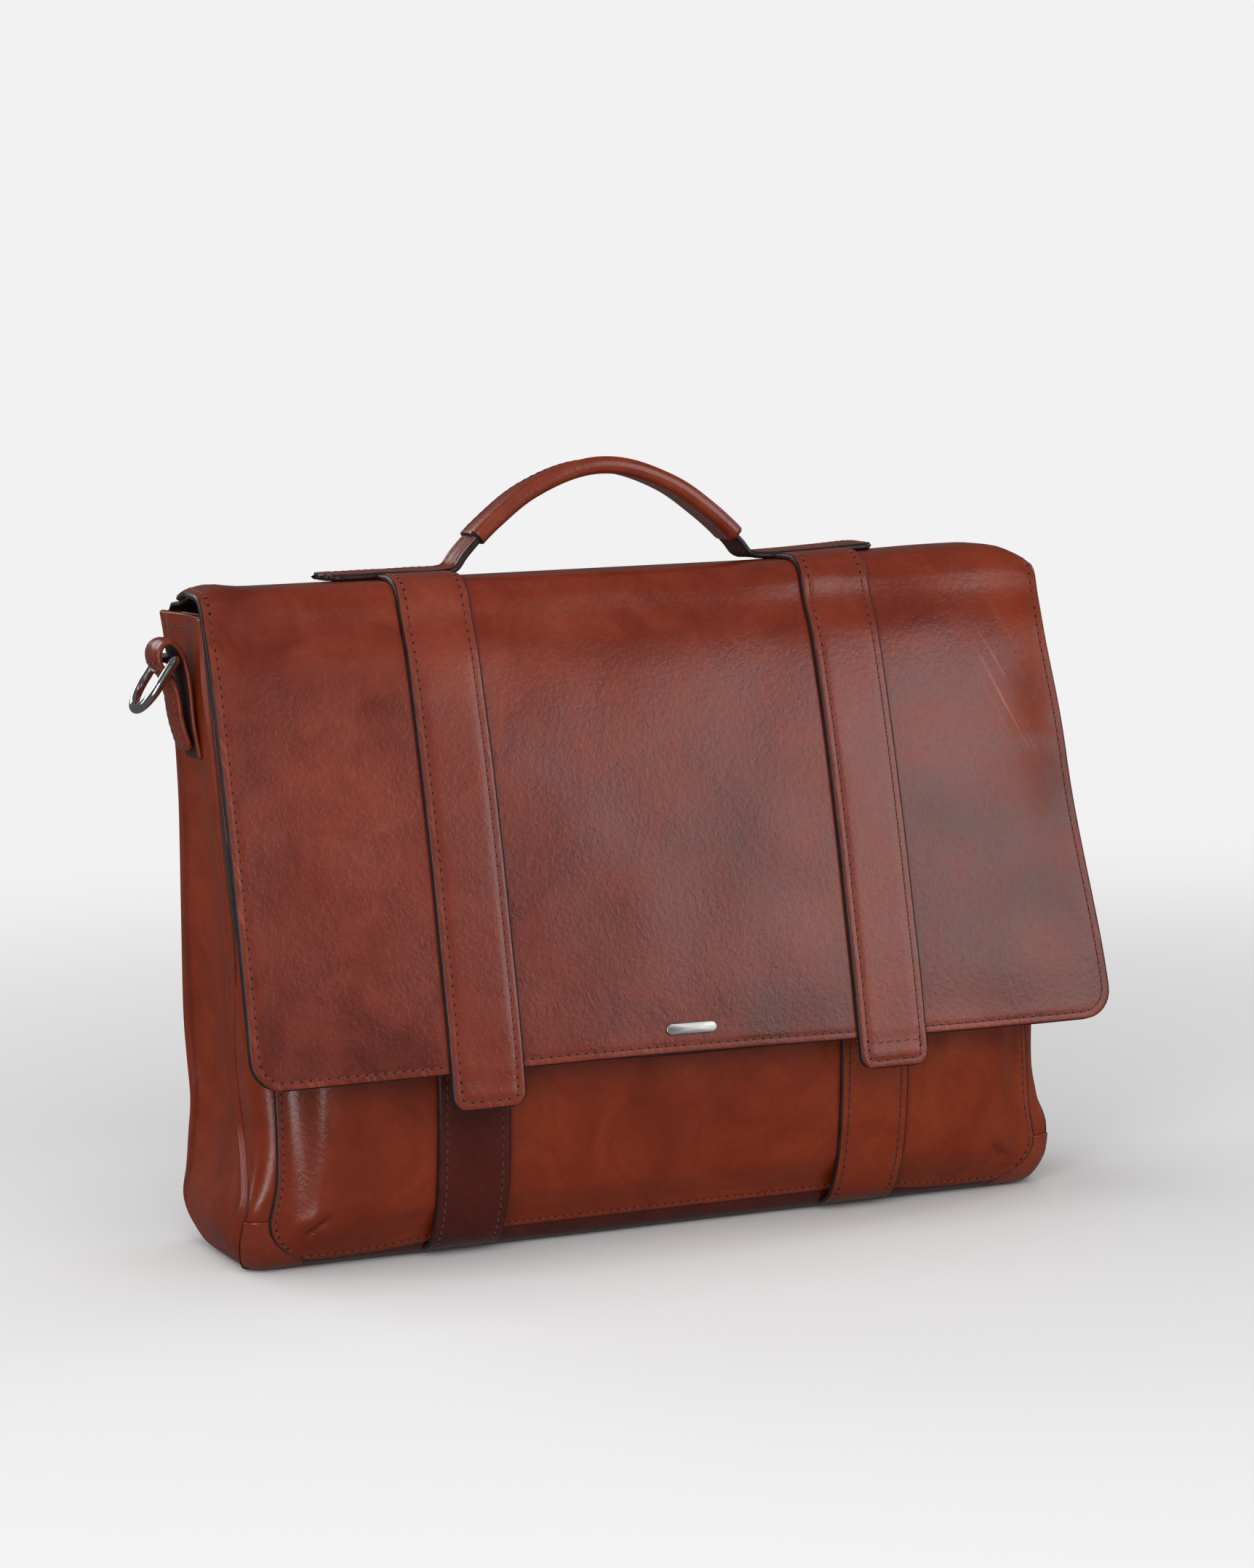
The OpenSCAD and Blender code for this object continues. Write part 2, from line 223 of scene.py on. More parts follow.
def tube_object(name, loops, materials, kinds=None):
    """A closed skin through a row of closed loops, with both ends capped."""
    loops = np.asarray(loops, float)
    rows, cols = loops.shape[:2]
    verts = loops.reshape(-1, 3)
    faces = quads(rows, cols, closed=True)
    face_kinds = [0] * len(faces) if kinds is None else [kinds[f[0] // cols] for f in faces]
    verts = np.vstack([verts, loops[0].mean(0), loops[-1].mean(0)])
    last = (rows - 1) * cols
    for j in range(cols):
        k = (j + 1) % cols
        faces += [(j, rows * cols, k), (last + j, last + k, rows * cols + 1)]
        face_kinds += [face_kinds[0], face_kinds[-1]]
    return outward(new_object(name, verts, faces, materials, face_kinds))


def set_attribute(piece, name, values):
    """Stores a value for each point of a sheet's face and back, and 0 on its edge."""
    flat = np.asarray(values, np.float32).ravel()
    edge = np.zeros(len(piece.data.vertices) - 2 * len(flat), np.float32)
    data = np.concatenate([flat, flat, edge])
    piece.data.attributes.new(name, "FLOAT", "POINT").data.foreach_set("value", data)


def rounded_half_width(half, s, end, r):
    """Half width at s of a strip that ends at end with corners of radius r."""
    e = np.clip(end - s, 0, r)
    return half - r + np.sqrt(np.maximum(r * r - (r - e) ** 2, 0))


def strip_grid(half, start, end, r, step, edge_zone=10):
    """u and v of a strip with corners of radius r at its end, closely spaced along its edges."""
    corner = np.array([0, 0.6, 1.2, 1.9, 2.8, 3.5, 4.4, 6, 8, 11, 15])
    straight = np.array([0, 0.6, 1.4, 2.6, 3.5, 4.5, 6.5])
    head = start + straight
    tail = end - (corner if r else straight)[::-1]
    body = np.linspace(head[-1], tail[0], max(3, int((tail[0] - head[-1]) / step)))
    v = np.concatenate([head[:-1], body, tail[1:]])
    u = spread(-half, half, step)
    width = np.full(v.shape, float(half))
    if r:
        width = np.minimum(width, rounded_half_width(half, v, end, r))
    zone = min(edge_zone, half * 0.45)
    off = half - np.abs(u)
    rows = []
    for w in width:
        inner = u * max(w - zone, 0.1) / (half - zone)
        rows.append(np.where(off < zone, np.sign(u) * np.maximum(w - off, 0.001 * np.abs(u)), inner))
    return np.array(rows), np.repeat(v[:, None], len(u), axis=1)


def edge_distance(u, v, half, start, end, r):
    """Distance inside the outline of a strip with rounded corners of radius r at its end."""
    d = np.minimum(half - np.abs(u), end - v)
    if start is not None:
        d = np.minimum(d, v - start)
    if r:
        qu, qv = np.abs(u) - (half - r), v - (end - r)
        corner = (qu > 0) & (qv > 0)
        d = np.where(corner, r - np.hypot(qu, qv), d)
        if start is not None:
            qv = (start + r) - v
            corner = (qu > 0) & (qv > 0)
            d = np.where(corner, r - np.hypot(qu, qv), d)
    return d


def sewn_edge(d, seam=SEAM, depth=0.12):
    """Height of a sewn edge: a soft roll-off at the rim and a groove where the thread pulls down."""
    roll = -0.3 * np.clip(1 - d / 1.0, 0, 1) ** 2
    return roll - depth * hill(d - seam, 0.7) + 0.05 * hill(d - seam - 2.2, 1.6)


# ---------------------------------------------------------------- stitches
class Stitches:
    """Rows of thread stitches, each lying between two needle holes."""

    def __init__(self):
        self.verts, self.faces, self.kinds = [], [], []

    def _lens(self, centre, along, across, up, length, width, height, kind):
        """A closed six-sided lens, longest along its own first direction."""
        sides = 6
        first = len(self.verts)
        self.verts += [centre - along * length, centre + along * length]
        shape = [(-0.72, 0.75), (0, 1), (0.72, 0.75)] if length > width * 1.5 else [(0, 1)]
        for t, r in shape:
            for k in range(sides):
                a = 2 * math.pi * k / sides
                self.verts.append(centre + along * length * t + across * width * r * math.cos(a)
                                  + up * height * r * math.sin(a))
        for k in range(sides):
            m = (k + 1) % sides
            self.faces.append((first, first + 2 + m, first + 2 + k))
            for row in range(len(shape) - 1):
                a, b = first + 2 + row * sides, first + 2 + (row + 1) * sides
                self.faces.append((a + k, a + m, b + m, b + k))
            last = first + 2 + (len(shape) - 1) * sides
            self.faces.append((first + 1, last + k, last + m))
        self.kinds += [kind] * (len(self.faces) - len(self.kinds))

    def run(self, surface, line, pitch=4.2, thread=0.42, slant=0.16, sink=0.05):
        """Sews along a line of (u, v) points on a surface."""
        line = np.array(line, float)
        fine = np.vstack([np.linspace(line[i], line[i + 1], 24, endpoint=False)
                          for i in range(len(line) - 1)] + [line[-1:]])
        p = surface.at(fine[:, 0], fine[:, 1])
        s = np.concatenate([[0], np.cumsum(np.linalg.norm(np.diff(p, axis=0), axis=1))])
        count = max(1, round(s[-1] / pitch))
        pitch = s[-1] / count
        for k in range(count):
            ends = [np.array([np.interp(q, s, fine[:, c]) for c in (0, 1)])
                    for q in (k * pitch, (k + 1) * pitch)]
            a, b = (surface.at(*e) for e in ends)
            up = surface.normal(*((ends[0] + ends[1]) / 2))
            along = (b - a) / (np.linalg.norm(b - a) + 1e-9)
            across = np.cross(up, along)
            tilted = along + across * slant
            tilted /= np.linalg.norm(tilted)
            self._lens((a + b) / 2 + up * (thread * 0.3 - sink), tilted, np.cross(up, tilted), up,
                       pitch * 0.37, thread, thread * 0.75, 0)
            # A dark lens at each needle hole, as painted shade of the hole.
            self._lens(a - up * 0.02, up, along, across, 0.14, 0.9, 0.72, 1)

    def make(self, name, body, material):
        place(new_object(name, self.verts, self.faces, [material, HOLE], self.kinds), body)


def sew(name, slot, body, surface, lines, material=None, **how):
    """Stitches along lines on one surface, as one piece."""
    sewing = Stitches()
    for line in lines:
        sewing.run(surface, line, **how)
    sewing.make(name, body, material or THREAD)


def hem(half, start, end, r, count):
    """Two seam lines: down each side, round the corner at the end, and to the end's middle."""
    straight = [(half - SEAM, s) for s in np.linspace(start, end - r, 12)]
    arc = [(half - r + (r - SEAM) * math.sin(a), end - r + (r - SEAM) * math.cos(a))
           for a in np.linspace(math.pi / 2, 0, count)]
    return [[(side * x, s) for x, s in straight + arc[1:] + [(0, end - SEAM)]] for side, _ in SIDES]


# ---------------------------------------------------------------- materials
class Nodes:
    """Short calls for building a material's node tree."""

    def __init__(self, name):
        self.material = bpy.data.materials.new(name)
        self.material.use_nodes = True
        self.tree = self.material.node_tree
        self.bsdf = self.tree.nodes["Principled BSDF"]
        self.coords = self.tree.nodes.new("ShaderNodeTexCoord").outputs["Object"]

    def put(self, socket, value):
        """Links another node's output to a socket, or sets the socket's own value."""
        if isinstance(value, bpy.types.NodeSocket):
            self.tree.links.new(value, socket)
        else:
            socket.default_value = (*value, 1) if socket.type == "RGBA" else value

    def set(self, **values):
        for key, value in values.items():
            self.put(self.bsdf.inputs[key.replace("_", " ")], value)

    def add(self, kind, **values):
        """A new node, with its settings and its inputs by name."""
        node = self.tree.nodes.new(kind)
        for key, value in values.items():
            if hasattr(node, key):
                setattr(node, key, value)
            else:
                self.put(node.inputs[key.replace("_", " ")], value)
        return node

    def noise(self, scale, detail=3.0, rough=0.55, distortion=0.0, vector=None):
        return self.add("ShaderNodeTexNoise", Vector=vector or self.coords, Scale=scale, Detail=detail,
                        Roughness=rough, Distortion=distortion).outputs["Fac"]

    def cells(self, scale, feature="F1"):
        node = self.add("ShaderNodeTexVoronoi", feature=feature, Vector=self.coords, Scale=scale)
        return node.outputs["Distance"]

    def stretched(self, scale):
        return self.add("ShaderNodeMapping", Vector=self.coords, Scale=scale).outputs["Vector"]

    def slanted(self, direction, across, along):
        """Coordinates for thin lines at right angles to a direction."""
        node = self.add("ShaderNodeVectorMath", operation="DOT_PRODUCT")
        self.put(node.inputs[0], self.coords)
        self.put(node.inputs[1], direction)
        height = self.add("ShaderNodeSeparateXYZ", Vector=self.coords).outputs["Z"]
        return self.add("ShaderNodeCombineXYZ", X=self.math("MULTIPLY", node.outputs["Value"], across),
                        Y=self.math("MULTIPLY", height, along)).outputs[0]

    def ramp(self, fac, stops):
        node = self.add("ShaderNodeValToRGB", Fac=fac)
        ramp = node.color_ramp
        while len(ramp.elements) < len(stops):
            ramp.elements.new(0.5)
        for element, (position, colour) in zip(ramp.elements, stops):
            element.position = position
            element.color = (*colour, 1)
        return node.outputs["Color"]

    def math(self, operation, a, b):
        node = self.add("ShaderNodeMath", operation=operation)
        self.put(node.inputs[0], a)
        self.put(node.inputs[1], b)
        return node.outputs[0]

    def range(self, value, low, high, to_low=0.0, to_high=1.0):
        return self.add("ShaderNodeMapRange", Value=value, From_Min=low, From_Max=high, To_Min=to_low,
                        To_Max=to_high).outputs["Result"]

    def mix(self, fac, a, b):
        node = self.add("ShaderNodeMix", data_type="RGBA", Factor=fac)
        self.put(node.inputs[6], a)
        self.put(node.inputs[7], b)
        return node.outputs[2]

    def attribute(self, name):
        return self.add("ShaderNodeAttribute", attribute_name=name).outputs["Fac"]

    def bump(self, height, distance, strength=1.0, after=None):
        node = self.add("ShaderNodeBump", Height=height, Strength=strength, Distance=distance)
        if after is not None:
            self.put(node.inputs["Normal"], after)
        return node.outputs["Normal"]


def srgb(r, g, b):
    """An sRGB colour of 0 to 255 as linear values."""
    return tuple(((c / 255 + 0.055) / 1.055) ** 2.4 if c > 10 else c / 255 / 12.92 for c in (r, g, b))


def leather(name, dark, mid, light, gloss=0.28, coat=0.18, grain=1.0, crease=1.0, mottle=1.0,
            rubbed=False):
    """Glazed pull-up leather: cloudy colour, fine grain, stretch creases and worn lines.

    Rubbed leather also has paler, duller patches, where its rub attribute says so.
    """
    n = Nodes(name)
    cloud = n.noise(7, 3, 0.55, 0.6)
    patch = n.noise(38, 4, 0.6, 0.9)
    fine = n.noise(420, 2, 0.6)
    tone = n.math("ADD", n.math("MULTIPLY", cloud, 0.62), n.math("MULTIPLY", patch, 0.38))
    base = n.ramp(n.range(tone, 0.5 - 0.24 / mottle, 0.5 + 0.24 / mottle),
                  [(0, dark), (0.48, mid), (1, light)])
    base = n.mix(n.range(n.cells(760), 0.0, 0.3, 0.34, 0), base, dark)
    base = n.mix(n.range(fine, 0.35, 0.7, 0, 0.26), base, dark)
    worn = tuple(min(1, c * 1.9 + 0.04) for c in light)
    streaks = n.range(n.noise(1.0, 3, 0.6, 0.3, n.slanted((0.92, 0, 0.40), 560, 13)), 0.56, 0.66)
    base = n.mix(n.math("MULTIPLY", n.attribute("wear"), streaks), base, worn)
    n.set(Coat_Weight=coat, Coat_Roughness=0.2)
    if rubbed:
        rub = n.math("MULTIPLY", n.attribute("rub"), n.range(patch, 0.32, 0.6, 0.45, 1))
        base = n.mix(rub, base, light)
        n.set(Specular_IOR_Level=n.range(rub, 0, 1, 0.5, 0.1), Coat_Weight=n.range(rub, 0, 1, coat, 0))
    # The shade attribute darkens the colour: painted shade along the side seams, and darker cloudy patches
    # and a darker band inside the edge on the flap.
    base = n.mix(n.attribute("shade"), base, tuple(c * 0.45 for c in dark))
    rough = n.range(n.math("ADD", n.math("MULTIPLY", patch, 0.7), n.math("MULTIPLY", fine, 0.3)),
                    0.3, 0.7, gloss - 0.05, gloss + 0.06)
    folds = n.noise(1.0, 4, 0.66, 0.8, n.stretched((300, 300, 150)))
    normal = n.bump(folds, 0.0002 * crease, 0.45)
    normal = n.bump(n.cells(430, "SMOOTH_F1"), 0.00014 * grain, 0.5, normal)
    normal = n.bump(n.cells(950, "SMOOTH_F1"), 0.00009 * grain, 0.6, normal)
    n.set(Base_Color=base, Roughness=rough, Normal=normal)
    return n.material


def painted_edge(name):
    """Edge paint: dark, slightly uneven and glossy."""
    n = Nodes(name)
    n.set(Base_Color=n.ramp(n.noise(140, 3), [(0.3, srgb(24, 14, 15)), (0.7, srgb(42, 27, 28))]),
          Roughness=n.range(n.noise(500), 0.3, 0.7, 0.3, 0.5),
          Normal=n.bump(n.noise(700, 3), 0.00012, 0.6), Coat_Weight=0.2, Coat_Roughness=0.3)
    return n.material


def thread(name, colour):
    """Twisted thread, with painted shade between its strands."""
    n = Nodes(name)
    twist = n.noise(2600, 2)
    n.set(Base_Color=n.ramp(twist, [(0.3, tuple(c * 0.55 for c in colour)), (0.7, colour)]),
          Normal=n.bump(twist, 0.00012, 0.8), Roughness=0.62, Sheen_Weight=0.2)
    return n.material


# Needle holes: a dark colour as painted shade inside the hole.
def hole(name):
    n = Nodes(name)
    n.set(Base_Color=n.ramp(n.noise(900), [(0.3, srgb(24, 10, 10)), (0.7, srgb(46, 20, 18))]),
          Roughness=0.8)
    return n.material


def woven(name, dark, light, pitch):
    """Plain woven cloth: two sets of yarns as crossed waves, its colour partly random tone and partly
    painted shade, darker where the yarns dip.
    """
    n = Nodes(name)
    yarns = n.stretched([math.pi / pitch * 0.3] * 3)
    waves = [n.add("ShaderNodeTexWave", Vector=yarns, Scale=1.0, Distortion=0.6, Detail=1.0,
                   bands_direction=direction).outputs["Fac"] for direction in "XZ"]
    height = n.math("MAXIMUM", *waves)
    tone = n.math("ADD", n.math("MULTIPLY", height, 0.6), n.math("MULTIPLY", n.noise(60), 0.4))
    n.set(Base_Color=n.ramp(tone, [(0.25, dark), (0.8, light)]), Normal=n.bump(height, 0.0003, 0.7),
          Roughness=0.85, Sheen_Weight=0.35, Sheen_Roughness=0.5)
    return n.material


def metal(name, colour, rough, brushed=False):
    n = Nodes(name)
    scratch = n.noise(1.0, 4, 0.7, 0, n.stretched((60, 900, 900) if brushed else (300, 300, 300)))
    n.set(Base_Color=n.ramp(scratch, [(0.2, tuple(c * 0.86 for c in colour)), (0.8, colour)]),
          Roughness=n.range(scratch, 0.25, 0.75, rough * 0.7, rough * 1.4),
          Normal=n.bump(scratch, 0.00002, 0.4 if brushed else 0.12), Metallic=1.0)
    return n.material


def board(name):
    n = Nodes(name)
    n.set(Base_Color=n.ramp(n.noise(300, 5), [(0.3, srgb(120, 100, 76)), (0.7, srgb(156, 136, 108))]),
          Normal=n.bump(n.noise(900, 3), 0.0002, 0.5), Roughness=0.9)
    return n.material


def plain(name, colour, rough):
    n = Nodes(name)
    n.set(Base_Color=colour, Roughness=rough)
    return n.material


FLAP = leather("flap_leather", srgb(74, 20, 13), srgb(110, 37, 19), srgb(134, 53, 27), mottle=1.15,
               rubbed=True)
BODY = leather("body_leather", srgb(84, 24, 5), srgb(118, 38, 9), srgb(144, 56, 19), gloss=0.32, coat=0.12,
               crease=0.5)
STRAP = leather("strap_leather", srgb(86, 26, 15), srgb(112, 40, 23), srgb(136, 57, 34), crease=0.7)
# Darker leather: painted shade on the left lower strap and the base strip; it also covers the mouth facing
# and the snap pads.
DARK = leather("dark_leather", srgb(50, 13, 7), srgb(74, 22, 12), srgb(100, 36, 22))
GRIP = leather("grip_leather", srgb(88, 28, 13), srgb(120, 46, 25), srgb(146, 68, 42))
SUEDE = leather("lining_leather", srgb(40, 22, 18), srgb(56, 32, 27), srgb(74, 44, 38), gloss=0.62,
                coat=0.0, grain=1.6)
EDGE = painted_edge("edge_paint")
THREAD = thread("thread", srgb(108, 44, 30))
DARK_THREAD = thread("dark_thread", srgb(76, 32, 24))
HOLE = hole("needle_hole")
LINING = woven("lining_cloth", srgb(30, 24, 22), srgb(58, 48, 42), 0.0009)
ZIP_CLOTH = woven("zip_cloth", srgb(20, 17, 16), srgb(40, 35, 33), 0.0006)
CHROME = metal("chrome", (0.82, 0.82, 0.84), 0.09)
SATIN = metal("satin_steel", (0.74, 0.72, 0.7), 0.36, brushed=True)
BOARD = board("fibre_board")

# ---------------------------------------------------------------- body
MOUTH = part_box("front_panel")[1].z / MM
BEAD = 1.9


def profile(*points):
    """A smooth function of height through (height, value) points."""
    p = smooth(points, 6)
    return lambda z: np.interp(z, p[:, 0], p[:, 1])


# Depths of the front face and of the back's middle and side seams, at each height
front_y = profile([0.3, -39], [1.2, -42.5], [4, -47.5], [10, -52.5], [20, -56], [45, -59], [85, -58],
                  [150, -53], [230, -44], [MOUTH, -34])
back_y = profile([0.3, 0], [1, 6], [2.5, 13], [4.7, 20], [10, 31], [15, 37.5], [23, 41.5], [34, 36],
                 [51, 31], [68, 25.5], [88, 29], [108, 31], [150, 27.5], [188, 24], [206, 23],
                 [224, 24], [240, 26.5], [260, 31], [278, 37], [MOUTH, 42])
middle_back_y = profile([0.3, 26], [1.2, 29], [4, 33], [20, 37], [60, 36], [110, 32], [200, 28],
                        [255, 33], [MOUTH, 42])
# Half width at the front corners and at the back seams
front_x = profile([0.3, 189], [1, 192], [2.5, 194], [8, 196], [16, 197.5], [26, 196.5], [36, 194.5],
                  [48, 192], [60, 190.5], [80, 191.5], [102, 193.5], [158, 196], [180, 197.5],
                  [240, 198.5], [MOUTH, 199])
back_x = profile([0.3, 190], [1.2, 194], [4, 197], [12, 198.8], [24, 199.4], [60, 198.6], [150, 198.8],
                 [MOUTH, 199])
# How far the front wraps round its corner before it meets the side
wrap_y = profile([0.3, 8], [5, 12], [13, 10], [23, 7], [31, 5.5], [39, 9], [50, 18], [65, 26],
                 [82, 26], [102, 20], [130, 9], [158, 3], [203, 3], [240, 4], [MOUTH, 3])
wrap_x = profile([0.3, 12], [20, 13], [31, 11], [45, 11], [80, 12], [120, 9], [200, 5], [MOUTH, 5])
# How far the side sinks in half way from back to front
pinch = profile([0, 0], [8, -1], [24, -3.5], [42, 0.5], [70, 4], [110, 6], [160, 5.5], [205, 4],
                [235, 2.5], [262, 2], [MOUTH, 3.5])


def side_points(q, z):
    """Half width and depth of the side, with q from 0 at the back seam to 1 at the front seam."""
    x = back_x(z) + (front_x(z) - back_x(z)) * q
    low, high = back_y(z) - BEAD, front_y(z) + wrap_y(z) + BEAD
    y = low + (high - low) * q
    x = x - pinch(z) * np.sin(math.pi * np.clip(q, 0, 1)) ** 0.9
    return x, y


def gusset_surface(side):
    """u runs from the back seam at -1 to the front seam at 1 and on round each bead."""
    def f(u, z):
        q = (np.clip(u, -1, 1) + 1) / 2
        x, y = side_points(q, z)
        inside = np.clip((1 - np.abs(u)) / 0.12, 0, 1) * ease(z / 20)
        roll = 1.9 * hill(q - 0.955, 0.04) - 0.9 * hill(q - 0.86, 0.06) + 0.9 * hill(q - 0.06, 0.04)
        fold = ease((z - 60) / 60) * ease((268 - z) / 60) * 1.8 * hill(q - 0.72, 0.09)
        x = x + roll * ease(z / 14) + fold
        x = x - (1.2 * lumps(y, z, 42, 3.1) + 0.5 * lumps(y * 2.2, z, 26, 8.7)) * inside
        turn = np.clip((np.abs(u) - 1) / 0.2, 0, 1) * math.pi
        y = y - np.sign(u) * BEAD * np.sin(turn)
        x = x - BEAD * (1 - np.cos(turn))
        return xyz(side * x, y, z)
    return Surface(f, -side)


def under_grid(count_high):
    """Heights from the mouth to the base, closer together at the mouth and round the bottom edge."""
    low = [34, 31, 28, 25, 22, 19, 16, 13, 10.5, 8.2, 6, 4.2, 2.8, 1.7, 0.9, 0.35]
    return np.concatenate([MOUTH - np.array([0, 0.5, 1.5, 3, 4.2, 5.5, 7.5]),
                           np.linspace(MOUTH - 10, 36, count_high), low])


def gusset(side, label):
    surface = gusset_surface(side)
    beads = np.array([1.2, 1.17, 1.12, 1.07, 1.02, 1, 0.975, 0.94, 0.9, 0.86, 0.82])
    across = np.concatenate([-beads, np.linspace(-0.77, 0.77, 24), beads[::-1]])
    v, u = np.meshgrid(under_grid(74), across, indexing="ij")
    piece = sheet_object("gusset_leather_" + label, surface, u, v, 1.3, [BODY, SUEDE, BODY])
    # Painted shade: darker where the side turns into its seams and in the groove beside each bead.
    seam_shade = np.clip((np.abs(u) - 1.06) / 0.1, 0, 1) * 0.5
    groove_shade = 0.45 * hill(np.abs(u) - 0.82, 0.05) * ease((v - 8) / 30)
    set_attribute(piece, "shade", seam_shade + groove_shade)
    place(piece, "bag", [label + "_gusset"])
    return surface


def front_points(u, z):
    """u is -1 to 1 over the flat of the front, then on to 2 round each corner and 2.2 in the seam."""
    rx, ry = wrap_x(z), wrap_y(z)
    flat = front_x(z) - rx
    turn = np.clip((np.abs(u) - 1) / 0.65, 0, 1) * math.pi / 2
    run = np.clip((np.abs(u) - 1.65) / 0.35, 0, 1)
    bend = np.minimum(rx, ry)
    dive = np.clip((np.abs(u) - 2) / 0.2, 0, 1)
    x = np.clip(np.abs(u), 0, 1) * flat + rx * np.sin(turn) - 2.2 * dive ** 1.5 - 0.8 * dive
    y = front_y(z) + bend * (1 - np.cos(turn)) + (ry - bend) * run - 0.6 * dive
    y = y - 0.5 * lumps(x * np.sign(u), z, 40, 5.5) * (1 - dive)
    return xyz(np.sign(u) * x, y, z)


def back_points(u, z):
    half = back_x(z) - 2 * BEAD
    x = u * half
    edge = (1 - np.abs(u)) * half
    mix = ease(edge / 70)
    y = back_y(z) * (1 - mix) + middle_back_y(z) * mix
    y = y - 1.3 * (1 - ease(edge / 2.4)) + 0.9 * lumps(x, z, 70, 2.5) * ease(edge / 14)
    y = y + 0.35 * lumps(x, z, 24, 12.5) * ease(edge / 14)
    return xyz(x, y, z)


def panel(name, surface, across, node):
    v, u = np.meshgrid(under_grid(56), across, indexing="ij")
    piece = sheet_object(name, surface, u, v, 1.3, [BODY, SUEDE, BODY])
    place(piece, "bag", [node])


def place(piece, body, nodes=()):
    """Hides the CAD parts a piece replaces and parents it to a body's empty. body is one body's name, or
    fold or back for the flap's two bends, where only the transform is baked.
    """
    if nodes:
        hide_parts(*nodes)
    if body == "fold":
        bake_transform(piece)
    elif body == "back":
        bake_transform(piece)
    else:
        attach(piece, body)
    return piece


gusset_surfaces = [gusset(side, label) for side, label in SIDES]
front_surface = Surface(front_points, 1)
back_surface = Surface(back_points, -1)
corner = np.array([2.2, 2.16, 2.1, 2.05, 2, 1.94, 1.85, 1.74, 1.65, 1.57, 1.48, 1.39, 1.3, 1.21, 1.12,
                   1.04])
panel("front_leather", front_surface, np.concatenate([-corner, np.linspace(-1, 1, 64), corner[::-1]]),
      "front_panel")
rim = 1 - np.array([0, 0.5, 1.2, 2.2, 3.5, 6, 9]) / 196
panel("back_leather", back_surface, np.concatenate([-rim, np.linspace(-0.94, 0.94, 62), rim[::-1]]),
      "back_panel")


def base_leather():
    half, low, high = 171.5, -40, 27

    def f(x, y):
        rear = np.minimum(high, back_points(x / (back_x(1) - 2 * BEAD), 0.7 + 0 * x)[..., 1] - 1)
        y = low + (y - low) * (rear - low) / (high - low)
        return xyz(x, y, 0.55 + 0.25 * lumps(x, y, 30, 1.5))
    u, v = np.meshgrid(spread(-half, half, 8), spread(low, high, 6), indexing="ij")
    surface = Surface(f, -1)
    piece = sheet_object("base_leather", surface, u, v, 1.2, [BODY, SUEDE, BODY])
    place(piece, "bag", ["base_panel"])


base_leather()

# ---------------------------------------------------------------- flap
# The flap's middle line as (y, z), from its sewn edge on the back, over the crest and down the front
FLAP_PATH = Path([[31.5, 238], [35.8, 256], [44.6, 282], [42, 290.5], [33, 296], [17, 300.8], [-3, 303.6],
                  [-24, 304.4], [-37.5, 300.5], [-45, 287], [-53, 266], [-60.5, 241], [-74, 190],
                  [-83, 150], [-89.5, 118], [-94, 91], [-96.5, 72]], top=304)
FLAP_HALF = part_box("flap_front")[1].x / MM - 1
FLAP_START = FLAP_PATH.where(0, 24, after=60)
FOLD = FLAP_PATH.where(0, -41.6, after=60)
FLAP_END = FLAP_PATH.where(1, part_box("flap_front")[0].z / MM, after=100)
STRAP_END = FLAP_PATH.where(1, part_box("left_upper_strap")[0].z / MM - 1.5, after=100)
FLAP_CORNER = 14
FLAP_THICK = 2.7
strap_low, strap_high = box("right_upper_strap")
STRAP_HALF = (strap_high[0] - strap_low[0]) / 2
STRAP_X = (strap_high[0] + strap_low[0]) / 2


def flap_sag(x):
    """How far the flap's top hangs below its ends' height, with the ends themselves drooping."""
    middle = 3.3 * (1 - ease((x - 60) / 110)) * ease((x + 203) / 30)
    return middle + 4.5 * ease((-x - 187) / 16)


def end_droop(x, y):
    """How far the right end of the top bends down over the gusset, a little less at the back."""
    return 10 * np.clip((x - 175) / 28, 0, 1.1) ** 2.5 * (1 - 0.35 * ease((y + 5) / 25))


def flap_frame(x, s):
    """Depth, height and outward direction of the flap's plain form at x across and s along."""
    y, z = FLAP_PATH.at(s)
    ny, nz = FLAP_PATH.normal(s)
    top = ease((s - FLAP_START + 30) / 30) * ease((FOLD + 16 - s) / 34)
    front = ease((s - FOLD - 4) / 25)
    dent = -2.2 * hill(s - FOLD - 13, 9) * (0.55 + 0.45 * lumps(x, 0 * s, 60, 4.2))
    roll = 0.8 * hill(s - FOLD + 8, 9) * lumps(x, 0 * s, 55, 9.1)
    wave = (1.0 * lumps(x, s, 85, 6.6) + 0.35 * lumps(x, s, 32, 2.2)) * front
    h = dent + roll + wave
    return y + ny * h, z + nz * h - (flap_sag(x) + end_droop(x, y)) * top, ny, nz


def flap_stretch(u, v):
    """x and s of the leather: narrower where it joins the back, flared at its lower right corner."""
    back = 1 - ease((v - FLAP_START) / 50)
    flare = ease((v - FLAP_END + 115) / 125)
    right = ease((u - 60) / 140)
    neck = 2.4 * hill(v - FOLD - 34, 30) * (u / FLAP_HALF) ** 2
    x = u * (1 - back * 7 / FLAP_HALF) + (9 * flare - neck) * right * (u / FLAP_HALF) ** 2
    return x, v + (1.5 + 3.5 * ease((u + 60) / 240)) * ease((v - FLAP_END + 60) / 60)


def on_flap(lift):
    """The flap's surface with a height function of the unstretched place added."""
    def f(u, v):
        x, s = flap_stretch(u, v)
        y, z, ny, nz = flap_frame(x, s)
        h = lift(u, v)
        return xyz(x, y + ny * h, z + nz * h)
    return Surface(f, -1)


flap_surface = on_flap(lambda u, v: sewn_edge(
    edge_distance(u, v, FLAP_HALF, FLAP_START, FLAP_END, FLAP_CORNER)))


